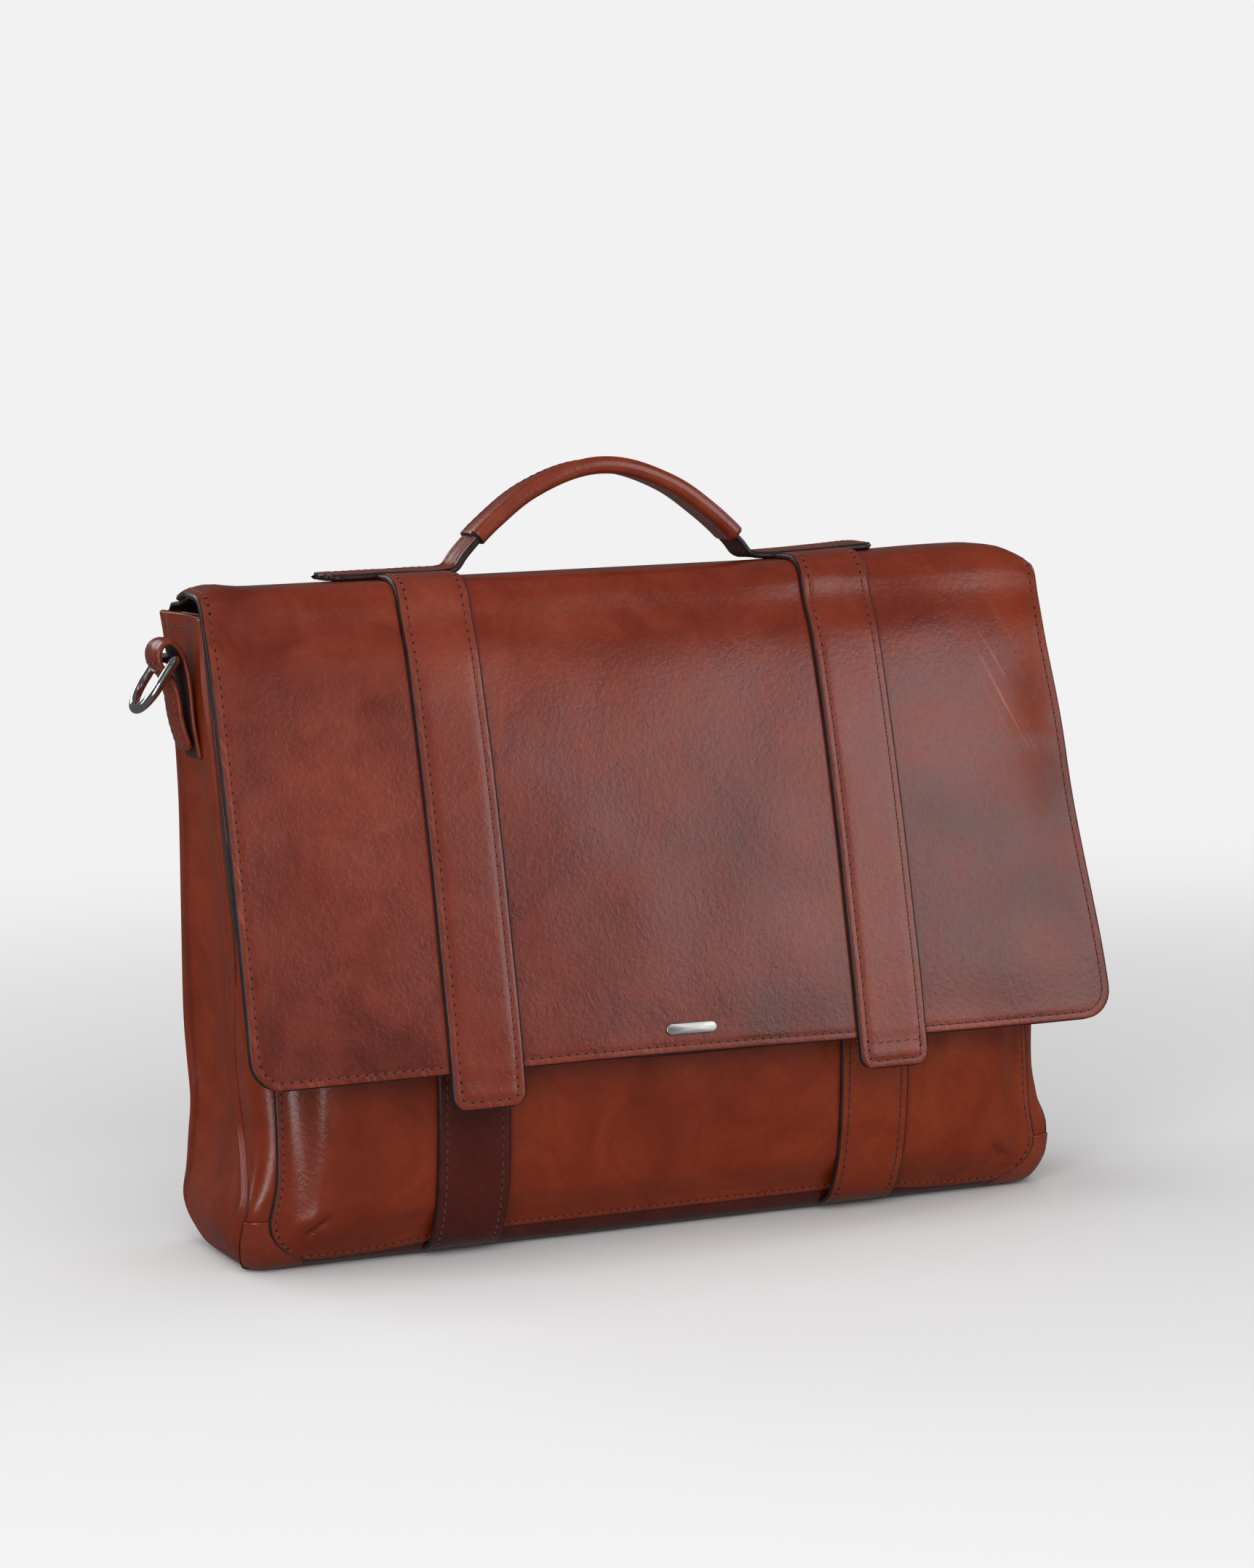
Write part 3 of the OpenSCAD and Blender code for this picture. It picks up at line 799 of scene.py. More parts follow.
def make_flap():
    u, v = strip_grid(FLAP_HALF, FLAP_START, FLAP_END, FLAP_CORNER, 5)
    piece = sheet_object("flap_cover", flap_surface, u, v, FLAP_THICK, [FLAP, SUEDE, EDGE])
    down = v - FOLD
    edge = edge_distance(u, v, FLAP_HALF, None, FLAP_END, FLAP_CORNER)
    scuff = hill(u - 178 - 0.12 * (down - 60), 9) * hill(down - 62, 32)
    set_attribute(piece, "wear", np.clip(scuff + 0.3 * hill(edge - 1.2, 2.5), 0, 1))
    set_attribute(piece, "rub", 0.9 * hill(u - 188, 15) * hill(down - 62, 60) + 0.3 * hill(edge, 4))
    cloudy = np.clip(0.35 + lumps(u, v * 1.6, 52, 11.4), 0, 1) * ease((u + 40) / 90)
    dark_foot = 0.7 * hill(edge - 14, 13) * np.clip(0.4 + lumps(u, v, 38, 5.1), 0, 1)
    set_attribute(piece, "shade", np.clip(0.55 * cloudy * ease((down - 40) / 60) + 0.5 * dark_foot, 0, 1))
    place(piece, "fold", ["flap_top", "flap_front"])

    inset = 9
    lining = flap_surface.lifted(-FLAP_THICK - 0.05)
    u, v = strip_grid(FLAP_HALF - inset, FLAP_START + 12, FLAP_END - inset, FLAP_CORNER, 8)
    piece = sheet_object("flap_inner", lining, u, v, 0.8, [SUEDE, SUEDE, SUEDE])
    place(piece, "fold", ["flap_top_lining", "flap_front_lining"])

    lines = hem(FLAP_HALF, FLAP_START + SEAM, FLAP_END, FLAP_CORNER, 7)
    lines.append([(-FLAP_HALF + SEAM, FLAP_START + SEAM), (FLAP_HALF - SEAM, FLAP_START + SEAM)])
    sew("flap_stitching", "flap_leather", "fold", flap_surface, lines)


make_flap()


def make_yoke():
    """The leather that joins the flap to the back: sewn on the back, tucked under the flap's rear edge."""
    half = FLAP_HALF - 8

    def f(x, s):
        y, z, ny, nz = flap_frame(x, s)
        d = edge_distance(x, -s, half, None, 0, 0)
        tuck = -(FLAP_THICK + 0.3) * ease((s - FLAP_START + 16) / 12)
        h = tuck + sewn_edge(d) + 0.4 * lumps(x, s, 50, 7.7)
        return xyz(x, y + ny * h, z + nz * h)
    surface = Surface(f, -1)
    u, v = strip_grid(half, 0.2, FLAP_START + 10, 0, 6)
    piece = sheet_object("back_yoke", surface, u, v, 2.0, [FLAP, SUEDE, EDGE])
    place(piece, "back", ["flap_back_band"])
    lines = [[(-half + SEAM, s), (half - SEAM, s)] for s in (3.7, 11)]
    sew("yoke_stitching", "flap_leather", "bag", surface, lines)


make_yoke()


def make_upper_strap(side, label):
    start = FLAP_PATH.where(0, -12.5, after=60)
    cross = STRAP_END - 11.5
    r = 6

    def f(u, s):
        x = u + side * STRAP_X
        y, z, ny, nz = flap_frame(x, s)
        d = edge_distance(u, s, STRAP_HALF, None, STRAP_END, r)
        cross_seam = hill(s - cross, 0.9) * (d > 3)
        h = 2.55 + sewn_edge(d) + 0.25 * ease(d / 8) - 0.4 * cross_seam
        h = h - 1.2 * ease((start + 6 - s) / 6)
        return xyz(x, y + ny * h, z + nz * h)
    surface = Surface(f, -1)
    u, v = strip_grid(STRAP_HALF, start, STRAP_END, r, 3.2)
    piece = sheet_object("upper_strap_" + label, surface, u, v, 2.4, [STRAP, SUEDE, EDGE])
    d = edge_distance(u, v, STRAP_HALF, None, STRAP_END, r)
    set_attribute(piece, "wear", 0.16 * hill(d - 1.2, 1.4) + 0.10 * ease((v - STRAP_END + 30) / 30))
    place(piece, "fold", [f"{label}_strap_crest", f"{label}_upper_strap"])
    lines = hem(STRAP_HALF, start + 2, STRAP_END, r, 4)
    lines.append([(-STRAP_HALF + SEAM, cross), (STRAP_HALF - SEAM, cross)])
    sew("upper_strap_stitching_" + label, "strap_leather", "fold", surface, lines)


for side, label in SIDES:
    make_upper_strap(side, label)

# ---------------------------------------------------------------- pocket and lower straps
# Depth of the pocket's middle and half its width, at each height
pocket_middle_y = profile([4.2, -48.5], [7, -51.5], [15, -61], [32, -69], [58, -73.5], [92, -75.6],
                          [122, -75.2], [158, -72.2], [188, -68])
POCKET_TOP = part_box("front_pocket")[1].z / MM
pocket_half_at = profile([0, 186], [9, 187], [16, 188], [23, 187.5], [33, 185], [48, 183], [84, 182.5],
                         [POCKET_TOP, 182])
POCKET_CORNER = 25


def pocket_foot(x):
    """Height of the pocket's lower edge, which sags towards the corners."""
    return 10.5 - 6 * ease((np.abs(x) - 80) / 90)


def pocket_uv(u, v):
    """x and z of the point at u across and v from 0 at the mouth to 1 at the lower edge."""
    z = POCKET_TOP - v * (POCKET_TOP - 4.5)
    for _ in range(3):
        half = pocket_half_at(z)
        foot = pocket_foot(u * half)
        z = POCKET_TOP - v * (POCKET_TOP - foot)
    e = np.clip(z - foot, 0, POCKET_CORNER)
    cut = POCKET_CORNER - np.sqrt(np.maximum(POCKET_CORNER ** 2 - (POCKET_CORNER - e) ** 2, 0))
    return u * (half - cut * 0.9), z, half, foot


def pocket_edge(x, z, half, foot):
    d = np.minimum(half - np.abs(x), z - foot)
    qx, qz = np.abs(x) - (half - POCKET_CORNER), (foot + POCKET_CORNER) - z
    return np.where((qx > 0) & (qz > 0), POCKET_CORNER - np.hypot(qx, qz), d)


def pocket_points(u, v):
    x, z, half, foot = pocket_uv(u, v)
    d = np.maximum(pocket_edge(x, z, half, foot), 0)
    full = pocket_middle_y(z) - front_y(z)
    side = 1 - (1 - np.clip((half - np.abs(x) - 2.5) / 44, 0, 1)) ** 2.6
    corner = ease((d - 3) / 16)
    swell = side * (0.35 + 0.65 * corner) * ease((d - 1.0) / 9)
    y = front_y(z) - 2.0 * (1 - swell) + full * swell
    dart_x, dart_z = np.abs(x) - (half - 21), z - (foot + 17)
    along, across = (dart_x - dart_z) * 0.7071, (dart_x + dart_z) * 0.7071
    tuck = hill(across, 1.5) * ease((along + 8) / 6) * ease((8 - along) / 6)
    y = y + 3.0 * tuck - 1.2 * hill(across - 5, 4) * hill(along, 10)
    y = y - (0.8 * lumps(x, z, 60, 1.9) + 0.3 * lumps(x, z, 22, 6.3) * ease((d - 30) / 20)) * ease(d / 14)
    y = y - sewn_edge(d, seam=2.2, depth=0.25)
    return xyz(x, y, z)


pocket_surface = Surface(pocket_points, -1)


def make_pocket():
    pocket_rim = 1 - np.array([0, 0.4, 0.9, 1.5, 2.2, 2.9, 4.2, 6.5, 10]) / 183
    near_dart = np.linspace(0.94, 0.8, 20)
    across = np.concatenate([-pocket_rim, -near_dart, np.linspace(-0.78, 0.78, 60), near_dart[::-1],
                             pocket_rim[::-1]])
    down = np.concatenate([np.linspace(0, 0.86, 44), np.linspace(0.868, 0.975, 20),
                           [0.979, 0.983, 0.986, 0.9885, 0.991, 0.994, 0.997, 0.999, 1]])
    v, u = np.meshgrid(down, across, indexing="ij")
    piece = sheet_object("pocket_leather", pocket_surface, u, v, 1.8, [BODY, SUEDE, EDGE])
    place(piece, "bag", ["front_pocket", "pocket_side_tape"])
    inset = 1 - 2.2 / 183
    heights = np.concatenate([np.linspace(0.02, 0.90, 14), np.linspace(0.91, 0.972, 12)])
    lines = [[(side * inset, v) for v in heights] for side, _ in SIDES]
    lines.append([(x, 0.9877) for x in np.linspace(-inset + 0.002, inset - 0.002, 40)])
    sew("pocket_stitching", "body_leather", "bag", pocket_surface, lines, pitch=3.8)


make_pocket()


# The lower straps' line as (y, z), down the pocket and under the base
LOWER = Path([[-76, 118], [-76.2, 92], [-74, 58], [-69.5, 32], [-61.5, 15], [-54, 7.2], [-47, 2.6],
              [-40, 1.4], [-30, 1.2]])


def make_lower_strap(side, label, face):
    end = LOWER.length - 2

    def f(u, s):
        x = u + side * STRAP_X
        y, z = LOWER.at(s)
        ny, nz = LOWER.normal(s)
        d = STRAP_HALF - np.abs(u)
        h = 2.4 * ease((z - 0.2) / 9) + sewn_edge(d) * ease(z / 8)
        h = h - 0.8 * lumps(x, z, 60, 1.9) * ease(z / 20) + 0.2 * lumps(x, s, 26, 4.4) * ease(z / 20)
        return xyz(x, y + ny * h, np.maximum(z + nz * h, 0.15))
    surface = Surface(f, -1)
    u, v = strip_grid(STRAP_HALF, 0, end, 0, 3.2)
    piece = sheet_object("lower_strap_" + label, surface, u, v, 2.1, [face, SUEDE, EDGE])
    place(piece, "bag", [f"{label}_lower_strap"])
    lines = [[(way * (STRAP_HALF - SEAM), s) for s in np.linspace(2, end - 12, 14)] for way in (-1, 1)]
    sew("lower_strap_stitching_" + label, "dark_leather", "bag", surface, lines, DARK_THREAD)


# The left strap takes the darker leather as painted shade; the right strap has the body leather.
make_lower_strap(-1, "left", DARK)
make_lower_strap(1, "right", BODY)

# ---------------------------------------------------------------- handle
CREST = FLAP_PATH.p[:, 1].max()
# Half of the handle's line as (x, z), from the end of a tab to the top
HALF_HANDLE = [[-133, CREST], [-105, CREST], [-80, CREST], [-71.5, 305.5], [-66.5, 311], [-60, 317],
               [-50, 324.5], [-34, 335], [-16, 342.5]]
HANDLE = Path(HALF_HANDLE + [[0, 345]] + [[-x, z] for x, z in HALF_HANDLE[::-1]])
HANDLE.p[:, 1] = np.maximum(HANDLE.p[:, 1], CREST)
HANDLE.p[:, 1] -= flap_sag(HANDLE.p[:, 0]) * (1 - ease((HANDLE.p[:, 1] - CREST) / 30))
HANDLE.p[:, 0] -= 2
HANDLE_THICK = 3.0


def make_handle_strap():
    length = HANDLE.length
    tab = 15

    def half_at(s):
        e = np.minimum(s, length - s)
        width = tab - 5 * ease((e - 48) / 14)
        corner = 5.5
        c = np.clip(e, 0, corner)
        return width - corner + np.sqrt(np.maximum(corner ** 2 - (corner - c) ** 2, 0))

    def f(u, s):
        x, z = HANDLE.at(s)
        nx, nz = HANDLE.normal(s)
        half = half_at(s)
        d = half * (1 - np.abs(u))
        h = HANDLE_THICK + 0.15 + sewn_edge(d) + 0.3 * lumps(u * half, s, 18, 5.0)
        return xyz(x - nx * h, u * half, z - nz * h)
    surface = Surface(f, -1)
    edge = np.array([0, 0.035, 0.09, 0.16, 0.233, 0.3, 0.42])
    across = np.concatenate([-1 + edge, np.linspace(-0.45, 0.45, 7), (1 - edge)[::-1]])
    ends = np.array([0, 0.15, 0.5, 1.1, 1.9, 2.8, 3.6, 4.5, 6])
    along = np.concatenate([ends, np.linspace(8, length - 8, 130), length - ends[::-1]])
    v, u = np.meshgrid(along, across, indexing="ij")
    piece = sheet_object("handle_base_strap", surface, u, v, HANDLE_THICK, [STRAP, SUEDE, EDGE])
    place(piece, "flap_crest", ["handle_strap"])
    sewing = Stitches()
    seam = 1 - SEAM / tab
    for at in (lambda s: s, lambda s: length - s):
        three_sides = [(sign * seam, at(s)) for sign, s in ((-1, 30), (-1, 4.5), (1, 4.5), (1, 30))]
        sewing.run(surface, three_sides, pitch=3.6)
        sewing.run(surface, [(-seam, at(30)), (seam, at(30))], pitch=3.6)
        for sign in (-1, 1):
            line = [(sign * (1 - SEAM / half_at(s)), at(s)) for s in np.linspace(34, 78, 12)]
            sewing.run(surface, line, pitch=3.8)
    sewing.make("handle_stitching", "flap_crest", THREAD)


make_handle_strap()

# Section of the wrapped grip: a thick edge, a seam groove and the overlapping leather
GRIP_SECTION = smooth([[-12.9, 0.4], [-12.2, 3.0], [-9.8, 4.4], [-7.2, 3.7], [-5.4, 2.3], [-4.6, 2.4],
                       [0, 3.0], [6, 3.0], [8.6, 2.7], [10.8, 2.6], [12.2, 1.4], [12.5, 0], [12.1, -1.6],
                       [10, -2.7], [3, -3.0], [-4, -3.0], [-7.5, -3.4], [-10.6, -3.2], [-12.5, -1.8],
                       [-12.9, 0.4]], 5)[:-1]


def make_grip():
    start = HANDLE.where(0, -62)
    end = HANDLE.where(0, 62)
    length = end - start
    loops, kinds = [], []
    stations = ([(0, 0.80), (0, 0.95), (0.5, 1.0)] + [(s, 1.0) for s in np.linspace(2, length - 2, 90)]
                + [(length - 0.5, 1.0), (length, 0.95), (length, 0.80)])
    for s, size in stations:
        s = start + s
        x, z = HANDLE.at(s)
        nx, nz = HANDLE.normal(s)
        section = GRIP_SECTION * size
        wobble = 0.18 * lumps(section[:, 0] * 3, np.full(len(section), s), 22, 3.3)
        h = HANDLE_THICK / 2 + 0.4 + section[:, 1] + wobble * np.sign(section[:, 1])
        loops.append(xyz(x - nx * h, section[:, 0], z - nz * h))
        kinds.append(1 if size < 1 else 0)
    piece = tube_object("grip_wrap", loops, [GRIP, EDGE], kinds)
    place(piece, "flap_crest", ["handle_grip", "handle_filler"])

    def f(u, s):
        x, z = HANDLE.at(s)
        nx, nz = HANDLE.normal(s)
        top = np.interp(u, [-5.4, -4.6, 0, 6, 8.6, 10.8], [2.3, 2.4, 3.0, 3.0, 2.7, 2.6])
        h = HANDLE_THICK / 2 + 0.4 + top
        return xyz(x - nx * h, u + 0 * x, z - nz * h)
    surface = Surface(f, -1)
    lines = [[(y, s) for s in np.linspace(start + 3, end - 3, 24)] for y in (-5.0, 9.2)]
    sew("grip_stitching", "strap_leather", "flap_crest", surface, lines, DARK_THREAD, pitch=3.8)


make_grip()


# ---------------------------------------------------------------- ring loops
def make_ring_loop(side, label):
    low, high = box(label + "_ring_loop")
    half = (high[1] - low[1]) / 2
    path = Path([[195.5, 226], [197.6, 240], [198.6, 254], [199.8, 265], [202.2, 273.5], [206.6, 278.4],
                 [211.6, 277.6], [214.4, 273], [213.6, 267], [209.4, 261.8], [206.8, 254], [205.4, 243],
                 [202.8, 233], [200.8, 229.5]])
    thick = 2.2

    def f(u, s):
        x, z = path.at(s)
        nx, nz = path.normal(s)
        outer = ease((s - path.length + 62) / 12)
        d = half - np.abs(u)
        h = sewn_edge(d, seam=3.0) * outer + 1.3 * outer * ease(d / 8) + 0.2 * lumps(u, s, 14, 3.0)
        return xyz(side * (x - nx * h), u, z - nz * h)
    surface = Surface(f, -side)
    u, v = strip_grid(half, 0, path.length, 3, 1.6, edge_zone=4.5)
    piece = sheet_object("ring_strap_" + label, surface, u, v, thick, [STRAP, SUEDE, STRAP])
    place(piece, "bag", [f"{label}_ring_loop"])
    ends = (path.length - 42, path.length - 3)
    lines = [[(sign * (half - 3), s) for s in np.linspace(*ends, 8)] for sign in (-1, 1)]
    lines += [[(-half + 3, s), (half - 3, s)] for s in ends]
    sew("ring_strap_stitching_" + label, "strap_leather", "bag", surface, lines, pitch=3.4)


for side, label in SIDES:
    make_ring_loop(side, label)


# ---------------------------------------------------------------- seams on the body
def sew_body():
    sewing = Stitches()
    for surface in gusset_surfaces:
        hem_line = [(u, MOUTH - 5.5) for u in np.linspace(-0.95, 0.9, 12)]
        sewing.run(surface, hem_line, pitch=2.6, thread=0.34)
        for u in (-1.14, 1.14):
            sewing.run(surface, [(u, z) for z in np.linspace(MOUTH - 8, 6, 60)], thread=0.36)
    sewing.make("body_stitching", "bag", THREAD)


sew_body()


# ---------------------------------------------------------------- inside
def around(z, inset):
    """Points on a closed loop round the inside of the bag at a height, inset from its leather."""
    z = np.array(float(z))
    low, high = front_y(z) + 1.6 + inset, back_y(z) - 1.6 - inset
    middle = middle_back_y(z) - 1.6 - inset
    half = float(min(front_x(z), back_x(z))) - 2.6 - inset - max(0.0, float(pinch(z)) * 0.4)
    wrap = min(float(wrap_y(z)), 8) * 0.5
    sink = np.maximum(pinch(z), 0) * 0.75

    def end(side):
        q = np.linspace(0, 1, 8)
        y = high - 5 + (low + wrap - high + 8) * q
        return [(side * (half - sink * math.sin(math.pi * k)), v) for k, v in zip(q, y)]
    x = np.linspace(half - 6, -half + 6, 28)
    mix = ease((half - np.abs(x)) / 70)
    points = list(zip(x, np.minimum(high, middle) * mix + high * (1 - mix))) + end(-1)
    points += [(k, low) for k in np.linspace(-half + 9, half - 9, 28)] + end(1)[::-1]
    p = np.array(points, float)
    return p[:, 0], p[:, 1]


def make_lining():
    levels = np.concatenate([np.linspace(MOUTH - 1.5, 26, 40), [22, 18, 14, 11]])
    inner, outer = ([xyz(*around(z, 0.8 + thick), z) for z in order]
                    for thick, order in ((0.9, levels[::-1]), (0.0, levels)))

    def floor(loop, steps):
        """The loop at the floor, shrunk towards its middle in steps of (size, height)."""
        x, y = loop[:, 0], loop[:, 1]
        return [xyz(x * size, -6 + (y + 6) * size, z) for size, z in steps]
    floor_in = floor(inner[0], ((0.3, 6.2), (0.8, 6.2), (0.95, 6.8), (0.99, 8.4)))
    floor_out = floor(outer[-1], ((0.99, 7.4), (0.95, 5.8), (0.8, 5.2), (0.3, 5.2)))
    piece = tube_object("cloth_lining", floor_in + inner + outer + floor_out, [LINING])
    place(piece, "bag", ["lining"])


make_lining()


def make_facing():
    """The leather band inside the mouth, folded over the lining's edge."""
    top, low = MOUTH + 0.4, MOUTH - 26
    levels = ([(z, 2.6) for z in np.linspace(low, top - 0.6, 10)] + [(top, 2.2), (top, 1.4)]
              + [(z, 1.75) for z in np.linspace(top - 1, low, 10)])
    rows = np.array([xyz(*around(min(z, MOUTH), inset), z) for z, inset in levels])
    verts = rows.reshape(-1, 3)
    n, m = rows.shape[:2]
    faces = [(i * m + j, i * m + (j + 1) % m, ((i + 1) % n) * m + (j + 1) % m, ((i + 1) % n) * m + j)
             for i in range(n) for j in range(m)]
    piece = outward(new_object("mouth_facing_leather", verts, faces, [DARK]))
    place(piece, "bag", ["mouth_facing"])


make_facing()


def make_divider():
    low, high = box("laptop_divider")
    half, mid = (high[0] - low[0]) / 2, (low[1] + high[1]) / 2
    deep = (high[1] - low[1]) / 2

    def f(u, v):
        d = np.minimum(np.minimum(half - np.abs(u), v - low[2]), high[2] - v)
        puff = deep * (0.45 + 0.55 * ease(d / 9)) - 0.5 * hill(d - 10, 1.2)
        room = np.minimum(side_points(0.3, v)[0] - 5.5, half)
        return xyz(u / half * room, mid - puff - 0.25 * lumps(u, v, 40, 3.9), v)
    ends = (0, 0.6, 2, 4, 7, 9, 10, 11, 14)
    u, v = np.meshgrid(spread(-half, half, 9, ends), spread(low[2], high[2], 9, ends))
    surface = Surface(f, 1)
    piece = sheet_object("divider_pad", surface, u, v, deep * 1.9, [LINING, LINING, LINING])
    place(piece, "bag", ["laptop_divider"])
    m = 10
    line = [(-half + m, low[2] + m), (-half + m, high[2] - m), (half - m, high[2] - m),
            (half - m, low[2] + m)]
    sew("divider_stitching", "lining_fabric", "bag", surface, [line], DARK_THREAD, pitch=4.5, thread=0.36)


make_divider()


def make_zip_coil():
    """The zip's moulded coil: a row of small bent teeth along the tape."""
    low, high = box("zip_tape")
    mid = (low[2] + high[2]) / 2
    wire = np.array([(-0.32, -0.22, 0), (0.32, -0.22, 0), (0.32, 0.22, 0), (-0.32, 0.22, 0)])
    bend = np.linspace(0, math.pi, 6)
    verts, faces = [], []
    for x in np.arange(low[0] + 7, high[0] - 7, 1.6):
        for sign, shift in ((1, 0), (-1, 0.8)):
            first = len(verts)
            for y, z in zip(low[1] + 1.0 - 0.75 * np.sin(bend), 0.3 + 1.5 * (1 - np.cos(bend)) / 2):
                verts += list(wire + [x + shift, y, mid + sign * z])
            faces += quads(len(bend), len(wire), first, closed=True)
            faces += [range(first, first + 4), range(len(verts) - 1, len(verts) - 5, -1)]
    plastic = plain("zip_coil_plastic", srgb(30, 27, 26), 0.4)
    place(outward(new_object("zip_coil", verts, faces, [plastic])), "bag")


make_zip_coil()


# ---------------------------------------------------------------- small trim
def make_name_plate():
    """A plain metal bar on the flap, with rounded ends."""
    low, high = box("name_plate")
    half, tall = (high[0] - low[0]) / 2, (high[2] - low[2]) / 2
    s = FLAP_PATH.where(1, (low[2] + high[2]) / 2, after=100)
    angles = np.radians(np.arange(0, 360, 10))
    c, d = np.cos(angles), np.sin(angles)
    outline = np.column_stack([np.sign(c) * (half - tall) + tall * c, tall * d])
    loops = []
    for h, size in ((-0.6, 1.0), (0.7, 1.0), (1.0, 0.96), (1.1, 0.85)):
        p = outline.copy()
        p[:, 0] -= np.sign(p[:, 0]) * tall * (1 - size)
        p[:, 1] *= size
        points = flap_surface.at(p[:, 0], s + p[:, 1])
        centre = flap_surface.at(0.0, s)
        n = flap_surface.normal(0.0, s)
        flat = points - np.outer((points - centre) @ n, n)
        loops.append(flat + n * h)
    place(tube_object("name_bar", loops, [SATIN]), "flap_front", ["name_plate"])


make_name_plate()


PATCH_INNER = 171 / 184  # where a corner patch ends and the base strip begins, as u on the front


def make_corner_patch(side, label):
    """A patch of leather round the front of a lower corner, beside and under the pocket's corner."""
    def f(u, z):
        return front_points(side * u, z) - [0, 0.9, 0] + [side * 0.5, 0, 0]
    u, v = np.meshgrid(np.concatenate([np.linspace(PATCH_INNER, 1, 6), np.linspace(1.1, 1.98, 10)]),
                       [25, 24.4, 23, 20, 17, 14, 11, 8.5, 6.2, 4.2, 2.6, 1.6, 0.9, 0.5])
    piece = sheet_object("corner_patch_" + label, Surface(f, side), u, v, 0.9, [GRIP, SUEDE, BODY])
    place(piece, "bag", [f"{label}_corner_patch"])


def make_base_strip():
    """The base leather's edge, turned up on the front between the corner patches, in the darker leather as
    painted shade under the pocket.
    """
    u, v = np.meshgrid(np.linspace(-PATCH_INNER, PATCH_INNER, 60),
                       [13, 12.6, 11, 9, 7, 5.2, 3.6, 2.4, 1.4, 0.7])
    surface = Surface(lambda a, z: front_points(a, z) - [0, 0.7, 0], 1)
    place(sheet_object("base_strip", surface, u, v, 0.8, [DARK, SUEDE, DARK]), "bag")


make_base_strip()


def make_snap_washer(label):
    """The flared metal washer under a snap, let into the lower strap."""
    low, high = box(label + "_lower_snap")
    x, z = (low[0] + high[0]) / 2, (low[2] + high[2]) / 2
    a = np.radians(np.arange(0, 360, 7.5))
    section = ((9, -0.2), (14.4, -0.3), (15.6, -0.8), (16.3, -0.2), (16.3, 0.3), (15, 0.8))
    loops = [xyz(x + r * np.cos(a), high[1] - 0.6 + y, z + r * np.sin(a)) for r, y in section]
    place(tube_object("snap_washer_" + label, loops, [CHROME]), "bag")


for side, label in SIDES:
    make_snap_washer(label)
for side, label in SIDES:
    make_corner_patch(side, label)

# ---------------------------------------------------------------- materials of the CAD pieces kept
for names, material in ((["left_ring", "right_ring", "zip_slider", "zip_pull", "left_lower_snap",
                          "right_lower_snap", "left_upper_snap", "right_upper_snap"], CHROME),
                        (["base_board"], BOARD), (["zip_tape"], ZIP_CLOTH),
                        (["left_snap_pad", "right_snap_pad"], DARK)):
    for name in names:
        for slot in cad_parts[name].material_slots:
            slot.material = material

# ---------------------------------------------------------------- floor, lights, camera
def make_floor(radius=4000, clear_from=0.2, clear_to=1.5):
    """A pale floor that fades out with distance, so that it has no far edge."""
    n = Nodes("floor_white")
    away = n.add("ShaderNodeVectorMath", operation="LENGTH")
    n.put(away.inputs[0], n.coords)
    fade = n.range(away.outputs["Value"], clear_from, clear_to, 1, 0)
    fade.node.interpolation_type = "SMOOTHERSTEP"
    n.set(Base_Color=(0.82, 0.82, 0.82), Roughness=0.9, Specular_IOR_Level=0.2, Alpha=fade)
    angles = np.linspace(0, 2 * math.pi, 64, endpoint=False)
    verts = [(radius * math.cos(a), radius * math.sin(a), -0.3) for a in angles]
    floor = new_object("floor", verts, [tuple(range(64))], [n.material])
    floor.visible_glossy = False


def make_light(name, azimuth, elevation, distance, width, height, radiance, shine=True):
    """A soft box aimed at the bag, with azimuth from the front towards the right."""
    a, e = math.radians(azimuth), math.radians(elevation)
    aim = Vector((0, 0, 0.17))
    away = Vector((math.sin(a) * math.cos(e), -math.cos(a) * math.cos(e), math.sin(e)))
    data = bpy.data.lights.new(name, "AREA")
    data.shape, data.size, data.size_y = "RECTANGLE", width, height
    data.energy = radiance * width * height * math.pi
    light = bpy.data.objects.new(name, data)
    light.location = aim + away * distance
    light.rotation_euler = away.to_track_quat("Z", "Y").to_euler()
    light.visible_camera = False
    light.visible_glossy = shine
    bpy.context.scene.collection.objects.link(light)


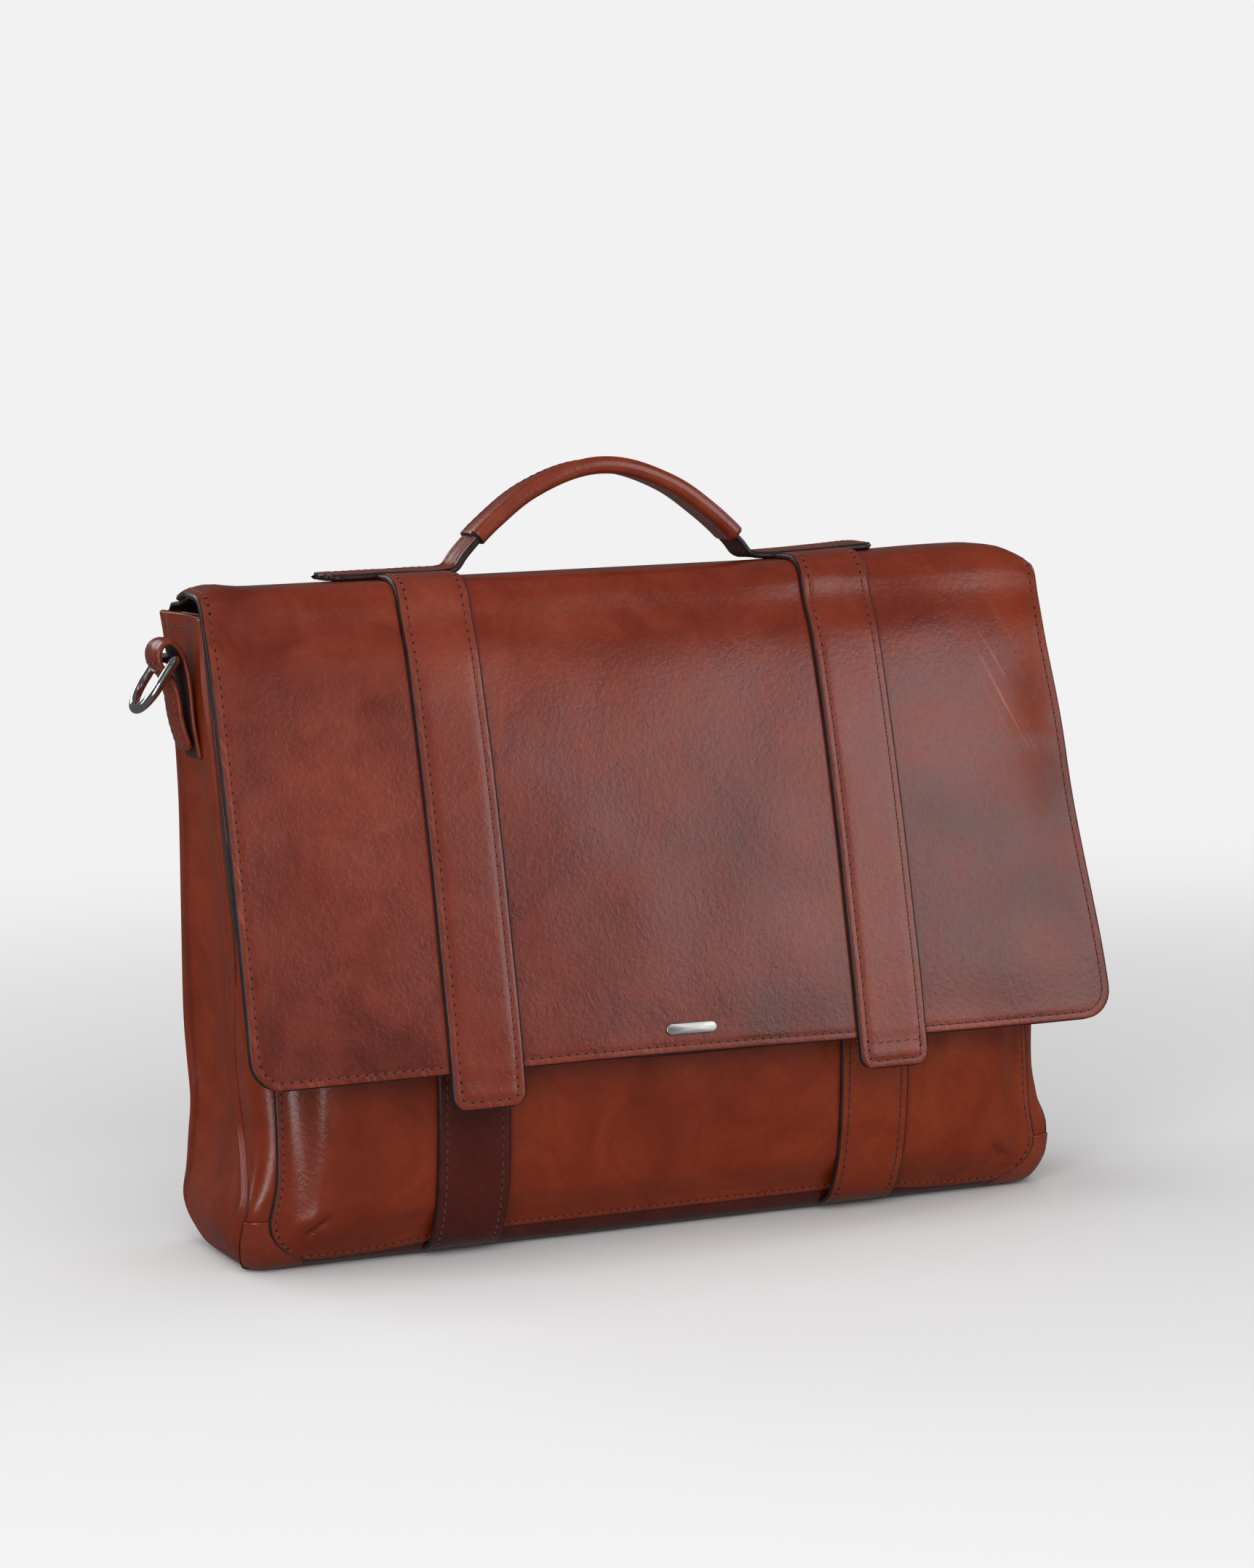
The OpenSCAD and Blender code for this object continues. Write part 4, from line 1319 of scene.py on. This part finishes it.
def make_world(backdrop=0.885, surround=0.09):
    """A pale backdrop for the camera, with dimmer surroundings that light the bag."""
    world = bpy.data.worlds.new("studio")
    world.use_nodes = True
    tree = world.node_tree
    ground = tree.nodes["Background"]
    ground.inputs["Color"].default_value = (1, 1, 1, 1)
    ray = tree.nodes.new("ShaderNodeLightPath")
    level = tree.nodes.new("ShaderNodeMapRange")
    level.inputs["To Min"].default_value = surround
    level.inputs["To Max"].default_value = backdrop
    tree.links.new(ray.outputs["Is Camera Ray"], level.inputs["Value"])
    tree.links.new(level.outputs["Result"], ground.inputs["Strength"])
    bpy.context.scene.world = world
    bpy.context.scene.view_settings.view_transform = "Standard"


make_floor()
make_world()
make_light("sheen_box", 36, 15, 2.3, 1.2, 1.2, 2.5)
make_light("front_fill", -15, 32, 2.6, 2.4, 1.8, 2.7, shine=False)
make_light("left_fill", -85, 30, 2.6, 1.6, 1.4, 1.2, shine=False)
make_light("top_fill", 0, 88, 2.8, 3.0, 3.0, 1.2, shine=False)
make_light("crest_box", -30, 66, 2.4, 1.6, 0.5, 0.4)
make_light("left_box", -42, 6, 2.3, 0.6, 1.6, 5.6)
make_light("left_strip", -112, 18, 2.3, 0.35, 1.4, 3.4)
make_light("right_strip", 100, 18, 2.3, 0.5, 1.4, 2.4)
make_light("back_box", 212, 30, 2.4, 1.4, 1.0, 2.4)


def make_camera(azimuth=-21.4, elevation=6.46, roll=-1.67, distance=1.821, lens=90.167,
                target=(0.00925, 0, 0.1992)):
    """A long lens at the viewing angle, held with a slight roll."""
    a, e, r = (math.radians(x) for x in (azimuth, elevation, roll))
    back = Vector((math.sin(a) * math.cos(e), -math.cos(a) * math.cos(e), math.sin(e)))
    right = Vector((0, 0, 1)).cross(back).normalized()
    up = back.cross(right)
    x_axis = math.cos(r) * right + math.sin(r) * up
    y_axis = -math.sin(r) * right + math.cos(r) * up
    data = bpy.data.cameras.new("camera")
    data.lens = lens
    data.clip_start, data.clip_end = 0.05, 50
    camera = bpy.data.objects.new("camera", data)
    camera.matrix_world = Matrix((x_axis, y_axis, back)).transposed().to_4x4()
    camera.location = Vector(target) + back * distance
    bpy.context.scene.collection.objects.link(camera)
    bpy.context.scene.camera = camera


make_camera()
